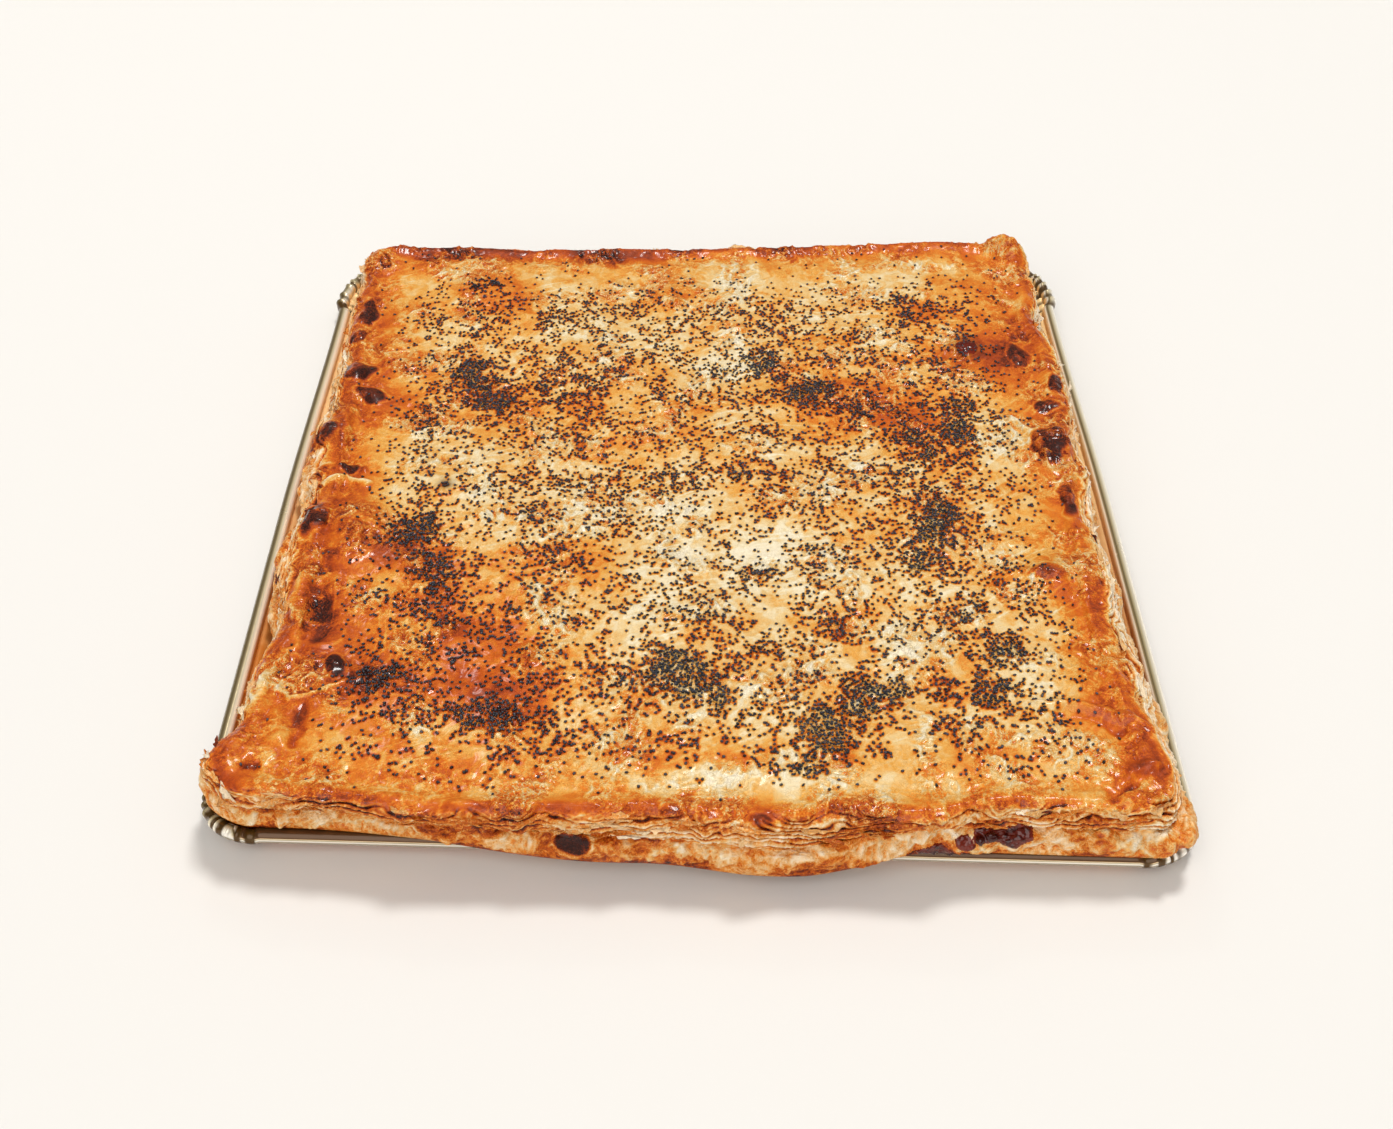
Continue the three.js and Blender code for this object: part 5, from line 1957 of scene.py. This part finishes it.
@dataclass
class PoppySeeds:
    """The poppy seeds sprinkled on the top: thick in clusters, thin elsewhere, few near the edge."""

    pitch: float = 1.0
    length: float = 1.14
    width: float = 0.86
    height: float = 0.8
    scatter: float = 0.16
    shake: float = 0.42
    reach: float = 0.985
    tilt: float = 0.22
    sizes: tuple[float, float] = (0.86, 1.12)
    pile: float = 0.45
    resting: float = 0.30
    stray: float = 0.012
    crowd: float = 0.72
    most_crowded: float = 0.96
    inside_across: tuple[float, ...] = (-108.0, -86.0, 92.0, 112.0)
    inside_along: tuple[float, ...] = (-150.0, -132.0, 88.0, 120.0)
    ragged_noise: Layers = ((0.6, 61.0, 5.5), (0.5, 71.0, 2.4))
    seed: int = 73
    most: int = 16500
    clusters: tuple[Spot, ...] = (
        Spot(76, -30, 6, 7, 1.0), Spot(71, -41, 7, 8, 0.8), Spot(67, -54, 7, 6, 0.55),
        Spot(51, -113, 10, 8, 0.9, 20), Spot(-6, -102, 11, 9, 0.8), Spot(2, -114, 9, 7, 0.6),
        Spot(86, 12, 6, 9, 0.75), Spot(73, 12, 7, 9, 0.6), Spot(34, -119, 9, 8, 0.5),
        Spot(35, -131, 9, 7, 0.8), Spot(28, -142, 10, 4, 0.85), Spot(69, -4, 9, 8, 0.5),
        Spot(88, 28, 7, 10, 0.45), Spot(36, 38, 11, 10, 0.85), Spot(24, 58, 7, 14, 0.6, -25),
        Spot(52, 26, 11, 10, 0.45), Spot(18, -10, 9, 5, 0.4), Spot(3, -6, 8, 6, 0.25),
        Spot(-9, -14, 9, 8, 0.35), Spot(-36, -18, 8, 7, 0.3), Spot(18, -60, 7, 5, 0.45),
        Spot(8, -79, 8, 6, 0.45), Spot(24, -94, 14, 6, 0.4), Spot(40, -84, 9, 8, 0.5),
        Spot(53, -72, 6, 4, 0.45), Spot(78, -76, 9, 10, 0.4), Spot(86, -94, 11, 8, 0.65),
        Spot(80, -113, 11, 9, 0.6), Spot(-53, -119, 13, 8, 0.85), Spot(-50, -74, 8, 5, 0.4),
        Spot(-43, -55, 7, 8, 0.35), Spot(-85, -37, 9, 9, 0.75, 20), Spot(-77, -58, 7, 14, 0.6),
        Spot(-87, -108, 12, 9, 0.6), Spot(-74, 48, 7, 15, 0.75, 20),
        Spot(-66, 30, 6, 8, 0.5), Spot(-47, 40, 15, 9, 0.5), Spot(-74, 106, 15, 10, 0.5, -30),
        Spot(74, 92, 8, 11, 0.5), Spot(78, 40, 10, 9, 0.3), Spot(-30, 70, 8, 8, 0.2),
        Spot(-20, 52, 12, 6, 0.25), Spot(92, 66, 5, 6, 0.5), Spot(30, 95, 14, 16, 0.12),
        Spot(-84, 14, 12, 12, 0.15), Spot(60, -30, 20, 30, 0.12), Spot(-20, -130, 50, 8, 0.08),
    )

    def density(self, points: Array, noise: Noise) -> Array:
        """The chance of a seed: a thin scatter with soft clumps that stops short of the edge, and a
        hill for each cluster with a ragged outline.

        Args:
            points: places on the top.
            noise: the noise to use.

        Returns:
            The chance, from 0 to 1.
        """
        x, y = points[:, 0], points[:, 1]
        inside = np.ones(len(points))
        for place, (start, full, wane, end) in ((x, self.inside_across), (y, self.inside_along)):
            inside = inside * (smooth(place, start, full) * (1.0 - smooth(place, wane, end)))
        warped_x = x + 3.0 * noise.at(points + 33.0, 8.0)
        warped_y = y + 3.0 * noise.at(points - 33.0, 8.0)
        share = np.zeros(len(points))
        for cluster in self.clusters:
            share = share + cluster.amount * cluster.reach(warped_x, warped_y)
        ragged = noise.layers(points, self.ragged_noise)
        packed = smooth(share + 0.5 * ragged, 0.26, 0.85)
        clumps = smooth(ragged + 0.45 * noise.at(points + 81.0, 16.0), 0.04, 0.26)
        spread = smooth(noise.at(points + 91.0, 12.0), -0.3, 0.3)
        share = np.minimum(share, 1.0)
        loose = self.scatter * (0.4 + 1.2 * spread) + 0.24 * share + (0.14 + 0.4 * share) * clumps
        return np.clip(self.stray + inside * loose + self.crowd * packed, 0.0, self.most_crowded)

    @staticmethod
    def ball() -> tuple[Array, Array]:
        """A grain of twelve triangles: six points round it, one above and one below.

        Returns:
            Its points, one unit from the middle, and its triangles.
        """
        angle = np.arange(6) * np.pi / 3.0
        ring = np.stack([np.cos(angle), np.sin(angle), np.zeros(6)], axis=-1)
        here = np.arange(6)
        ahead = (here + 1) % 6
        upper = np.stack([here, ahead, np.full(6, 6)], axis=-1)
        lower = np.stack([ahead, here, np.full(6, 7)], axis=-1)
        return np.concatenate([ring, [(0.0, 0.0, 1.0), (0.0, 0.0, -1.0)]]), np.concatenate([upper, lower])

    def sprinkle(self, crust: Crust) -> None:
        """Chooses the seeds' places: one in each cell of a fine grid, moved at random, kept by chance.

        Args:
            crust: the crust that they lie on, whose glaze they stain.
        """
        self.draw = np.random.default_rng(self.seed)
        noise = Noise(self.seed)
        wide = int(2 * crust.plan.half_width / self.pitch)
        long = int(2 * crust.plan.half_length / self.pitch)
        column, row = np.meshgrid(np.arange(wide), np.arange(long))
        shift = self.draw.uniform(-self.shake, self.shake, (2, long, wide))
        u = ((column + 0.5 + 0.5 * (row % 2) + shift[0]) / wide * 2.0 - 1.0).ravel()
        v = ((row + 0.5 + shift[1]) / long * 2.0 - 1.0).ravel()
        kept = (np.abs(u) < self.reach) & (np.abs(v) < self.reach)
        u, v = u[kept], v[kept]
        place, normal = crust.on_top(u, v)
        chance = self.density(place, noise)
        chosen = np.flatnonzero(self.draw.random(len(u)) < chance)
        if len(chosen) > self.most:
            chosen = np.sort(self.draw.choice(chosen, self.most, replace=False))
        self.place, self.normal, self.chance = place[chosen], normal[chosen], chance[chosen]
        LOG.info("poppy seeds: %d", len(chosen))
        crust.stain(u[chosen], v[chosen])

    def build(self, material: Material) -> Piece:
        """Sets a squashed grain on each place, turned at random about the skin's normal.

        Args:
            material: the seeds' finish.

        Returns:
            The seeds' piece.
        """
        draw, place, normal, chance = self.draw, self.place, self.normal, self.chance
        count = len(place)
        turn = draw.uniform(0.0, 2.0 * np.pi, count)
        up = unit(normal + draw.normal(0.0, self.tilt, (count, 3)))
        heading = np.stack([np.cos(turn), np.sin(turn), np.zeros(count)], axis=-1)
        forward = unit(heading - up * np.sum(heading * up, axis=-1, keepdims=True))
        side = np.cross(up, forward)
        size = draw.uniform(*self.sizes, count)[:, None]
        lift = self.resting * self.height + self.pile * draw.random(count) * smooth(chance, 0.45, 0.9)
        ball, triangles = self.ball()
        halves = np.array([self.length, self.width, self.height]) / 2.0
        frame_axes = np.stack([forward, side, up], axis=1) * (halves[None, :, None] * size[:, :, None])
        bodies = np.einsum("pk,nkc->npc", ball, frame_axes)
        points = place[:, None] + normal[:, None] * lift[:, None, None] + bodies
        faces = triangles[None] + (np.arange(count) * len(ball))[:, None, None]
        tone = np.repeat(draw.beta(1.6, 3.0, count), len(ball))
        seeds = add_mesh("poppy_seeds", points.reshape(-1, 3), faces.reshape(-1, 3), tone=tone)
        dress(seeds, material, Slot.SEEDS)
        return seeds


# ---- juice and flakes


@dataclass
class BurntJuice:
    """Filling juice that bubbled out and burnt: a bumpy glossy layer over parts of the crust."""

    leaks: tuple[Blister, ...] = (
        Blister(62.5, -156, 11.6, 7, 6, 3, 1.3, 0.0, 0.0),
        Blister(71, -156, 14.6, 4.5, 6, 2.2, 0.8, 0.0, 0.0),
        Blister(80, -156, 17, 10, 6, 4.2, 1.3, 0.0, 0.0),
        Blister(93, 66, 28, 6, 6.5, 8, 1.1, 0.0, 0.0),
        Blister(117, 1, 24, 6, 12, 6, 0.7, 0.0, 0.0),
    )
    sunk: float = 0.08
    backing: float = 0.35
    thinnest: float = 0.02
    seed: int = 29

    def build(self, crust: Crust, material: Material) -> Piece:
        """Takes the crust's faces near each leak, lifts them by the leak's thickness with bubbles, and
        closes them with a copy that lies under the crust.

        Args:
            crust: the crust that the juice lies on.
            material: the juice's finish.

        Returns:
            The juice's piece.
        """
        noise = Noise(self.seed)
        moved = crust.points + 2.4 * noise.three(crust.points, 6.0)
        depth = np.zeros(len(crust.points))
        for leak in self.leaks:
            depth = np.maximum(depth, leak.out * smooth(leak.reach(moved), 0.12, 0.45))
        bubbles = noise.domes(crust.points, 3.4, 1.85, 0.7) + 0.4 * noise.creases(crust.points, 1.6)
        thickness = depth * (0.3 + 0.7 * bubbles)
        chosen = crust.quads[(depth[crust.quads] > self.thinnest).all(axis=1)]
        used, own = np.unique(chosen, return_inverse=True)
        quads = own.reshape(-1, 4)
        outer = crust.points[used] + crust.normals[used] * (thickness[used] - self.sunk)[:, None]
        inner = crust.points[used] - crust.normals[used] * self.backing
        rim = self.open_edges(quads)
        count = len(used)
        wall = np.stack([rim[:, 1], rim[:, 0], rim[:, 0] + count, rim[:, 1] + count], axis=-1)
        faces = np.concatenate([quads, quads[:, ::-1] + count, wall])
        share = np.tile(np.clip(thickness[used], 0.0, 1.0), 2)
        layer = add_mesh("burnt_juice", np.concatenate([outer, inner]), faces, depth=share)
        dress(layer, material, Slot.JUICE)
        return layer

    @staticmethod
    def open_edges(quads: Array) -> Array:
        """Finds a surface's open edges: those that only one face has.

        Args:
            quads: four vertex numbers for each face.

        Returns:
            The two vertex numbers of each open edge, in its face's own direction.
        """
        ends = np.concatenate([quads[:, [k, (k + 1) % 4]] for k in range(4)])
        key = np.sort(ends, axis=1)
        _, place, count = np.unique(key, axis=0, return_index=True, return_counts=True)
        return ends[place[count == 1]]


@dataclass
class LooseFlakes:
    """Thin torn leaves of pastry that peel away along the parcel's edge."""

    count: int = 230
    across: int = 5
    along: int = 13
    thickness: float = 0.22
    upward: float = 0.55
    lean: float = 0.35
    half_lengths: tuple[float, float] = (1.4, 5.5)
    half_widths: tuple[float, float] = (0.3, 0.95)
    curls: tuple[float, float] = (0.15, 0.8)
    twist: float = 0.35
    dry: float = 0.8
    rough: float = 0.6
    seed: int = 88

    def build(self, crust: Crust, material: Material) -> Piece:
        """Sets curled leaves on the upper side: each is a grid whose width is 1 - length^4 with two sine
        waves that make its edge ragged, bent across and along by parabolas, with a second skin under it.

        Args:
            crust: the crust that they peel from.
            material: the crust's finish.

        Returns:
            The flakes' piece.
        """
        draw = np.random.default_rng(self.seed)
        rows = crust.side_numbers[crust.seam_row + 6: -6]
        row = draw.integers(0, len(rows), self.count)
        column = draw.integers(0, rows.shape[1], self.count)
        chosen = rows[row, column]
        place = crust.points[chosen]
        normal = unit(crust.normals[chosen] + (0.0, 0.0, self.upward))
        round_way = np.cross(np.array([0.0, 0.0, 1.0]), crust.outward[chosen])
        lean = draw.normal(0.0, self.lean, (self.count, 1))
        forward = round_way + lean * np.array([0.0, 0.0, 1.0])
        forward = unit(forward - normal * np.sum(forward * normal, axis=-1, keepdims=True))
        side = np.cross(normal, forward)

        s, t = np.meshgrid(np.linspace(-1, 1, self.along), np.linspace(-1, 1, self.across))
        turns = draw.uniform(0.0, 2.0 * np.pi, (3, self.count))[:, :, None, None]
        ragged = 1.0 + 0.3 * np.sin(4.0 * s + 2.0 * t + turns[0]) + 0.25 * np.sin(9.0 * s - t + turns[1])
        width = (1.0 - s**4) ** 0.8 * 0.96 * t * ragged + 0.35 * np.sin(2.2 * s + turns[2])
        half_long, half_wide, curl = [draw.uniform(*span, self.count)[:, None, None]
                                      for span in (self.half_lengths, self.half_widths, self.curls)]
        twist = draw.normal(0.0, self.twist, self.count)[:, None, None]
        rise = curl * (width**2) - 0.35 * curl * s**2 + twist * s * width
        local = np.stack([s * half_long, width * half_wide, rise + 0.15], axis=-1)
        axes = np.stack([forward, side, normal], axis=1)
        leaf = np.einsum("nijk,nkc->nijc", local, axes) + place[:, None, None]
        under = leaf - normal[:, None, None] * self.thickness
        cells = self.across * self.along
        faces = sheet_faces(self.across, self.along)
        every = faces[None] + (np.arange(self.count) * 2 * cells)[:, None, None]
        points = np.concatenate([grid.reshape(self.count, cells, 3) for grid in (leaf, under)], axis=1)
        bake = np.clip(crust.bake[chosen] + draw.normal(-0.04, 0.13, self.count), 0.05, 0.95)
        bake = np.repeat(bake, 2 * cells)
        flakes = add_mesh("loose_flakes", points.reshape(-1, 3), every.reshape(-1, 4),
                          bake=bake, dry=np.full(len(bake), self.dry), rough=np.full(len(bake), self.rough))
        dress(flakes, material, Slot.CRUST)
        return flakes


# ---- the studio


@dataclass
class Studio:
    """A pale floor, soft light from behind and above, and the camera in front."""

    camera_height: float = 0.3959
    camera_back: float = 0.5263
    camera_tilt: float = 52.0
    lens: float = 52.1
    floor_colour: Triple = (231, 228, 223)
    light_colour: Triple = (1.0, 0.988, 0.97)
    horizon: float = 0.3
    zenith: float = 0.46
    mirrored: float = 0.3
    key_from: Triple = (0.18, 0.3, 1.0)
    key_spread: float = 12.0
    key_strength: float = 1.65
    fill_from: Triple = (-0.3, -1.0, 0.8)
    fill_spread: float = 60.0
    fill_strength: float = 1.6
    glint_at: Triple = (-0.2, 0.6, 0.75)
    glint_size: float = 0.05
    glint_energy: float = 0.35
    sensor: float = 36.0
    nearest: float = 0.01
    floor_reach: float = 6.0
    floor_matt: float = 0.9
    floor_specular: float = 0.1

    def build(self) -> None:
        """Sets up the floor, the lights, the world and the camera."""
        scene = bpy.context.scene
        scene.view_settings.view_transform = "Standard"
        self._floor()
        self._world()
        self._light("key", "SUN", self.key_from, self.key_strength, angle=math.radians(self.key_spread))
        self._light("fill", "SUN", self.fill_from, self.fill_strength, angle=math.radians(self.fill_spread))
        self._light("glint", "AREA", self.glint_at, self.glint_energy, size=self.glint_size)
        lens = bpy.data.cameras.new("camera")
        lens.lens = self.lens
        lens.sensor_width = self.sensor
        lens.clip_start = self.nearest
        camera = bpy.data.objects.new("camera", lens)
        camera.location = (0.0, frame_shift() * MM - self.camera_back, self.camera_height)
        camera.rotation_euler = (math.radians(self.camera_tilt), 0.0, 0.0)
        scene.collection.objects.link(camera)
        scene.camera = camera

    def _world(self) -> None:
        """A dim horizon that brightens evenly towards straight up, and is dimmer still where glossy
        surfaces mirror it, so that dark glaze keeps its depth."""
        world = bpy.data.worlds.new("studio_world")
        world.use_nodes = True
        bpy.context.scene.world = world
        desk = NodeDesk(world.node_tree)
        background = world.node_tree.nodes["Background"]
        background.inputs["Color"].default_value = (*self.light_colour, 1.0)
        direction = desk.node("ShaderNodeTexCoord").outputs["Generated"]
        height = desk.node("ShaderNodeSeparateXYZ", {0: direction}).outputs["Z"]
        above = desk.maths("MAXIMUM", height, 0.0)
        strength = desk.maths("MULTIPLY_ADD", above, self.zenith - self.horizon, self.horizon)
        glossy = desk.node("ShaderNodeLightPath").outputs["Is Glossy Ray"]
        dimmed = desk.maths("MULTIPLY_ADD", glossy, self.mirrored - 1.0, 1.0)
        desk.fill(background, {"Strength": desk.maths("MULTIPLY", strength, dimmed)})

    def _floor(self) -> None:
        """Lays the pale floor that the tray stands on."""
        reach = self.floor_reach
        mesh = bpy.data.meshes.new("floor")
        corners = [(-reach, -reach, 0.0), (reach, -reach, 0.0), (reach, reach, 0.0), (-reach, reach, 0.0)]
        mesh.from_pydata(corners, [], [[0, 1, 2, 3]])
        material, desk, shader = new_material("pale_floor")
        desk.fill(shader, {"Base Color": (*linear(self.floor_colour), 1.0), "Roughness": self.floor_matt,
                           "Specular IOR Level": self.floor_specular})
        mesh.materials.append(material)
        floor = bpy.data.objects.new("floor", mesh)
        bpy.context.scene.collection.objects.link(floor)

    def _light(self, name: str, kind: str, place: Triple, energy: float,
               **settings: float) -> None:
        """Adds a light that faces the tray.

        Args:
            name: its name.
            kind: SUN for one that is as strong everywhere, as from a large far panel, AREA for a lamp.
            place: where it hangs, in metres, or for a sun the direction that it comes from.
            energy: its strength, or for a lamp its power in watts.
            **settings: its angle or its size.
        """
        lamp = bpy.data.lights.new(name, kind)
        lamp.energy = energy
        lamp.color = self.light_colour
        for key, value in settings.items():
            setattr(lamp, key, value)
        light = bpy.data.objects.new(name, lamp)
        x, y, z = place
        light.location = place
        light.rotation_euler = (math.atan2(math.hypot(x, y), z), 0.0, math.atan2(y, x) + math.pi / 2.0)
        bpy.context.scene.collection.objects.link(light)


# ---- the whole


def main() -> None:
    """Builds every sub-assembly in order."""
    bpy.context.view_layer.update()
    Studio().build()
    effects = Effects()
    crust_material = CrustFinish().build(effects)
    FoilTray().build(FoilFinish().build(effects))
    PaperLiner().build(PaperFinish().build(effects))
    crust = Crust()
    seeds = PoppySeeds()
    seeds.sprinkle(crust)
    crust.build(crust_material)
    LooseFlakes().build(crust, crust_material)
    BurntJuice().build(crust, JuiceFinish().build())
    seeds.build(SeedFinish().build())


if __name__ == "__main__":
    logging.basicConfig(level=logging.INFO, format="%(message)s")
    main()
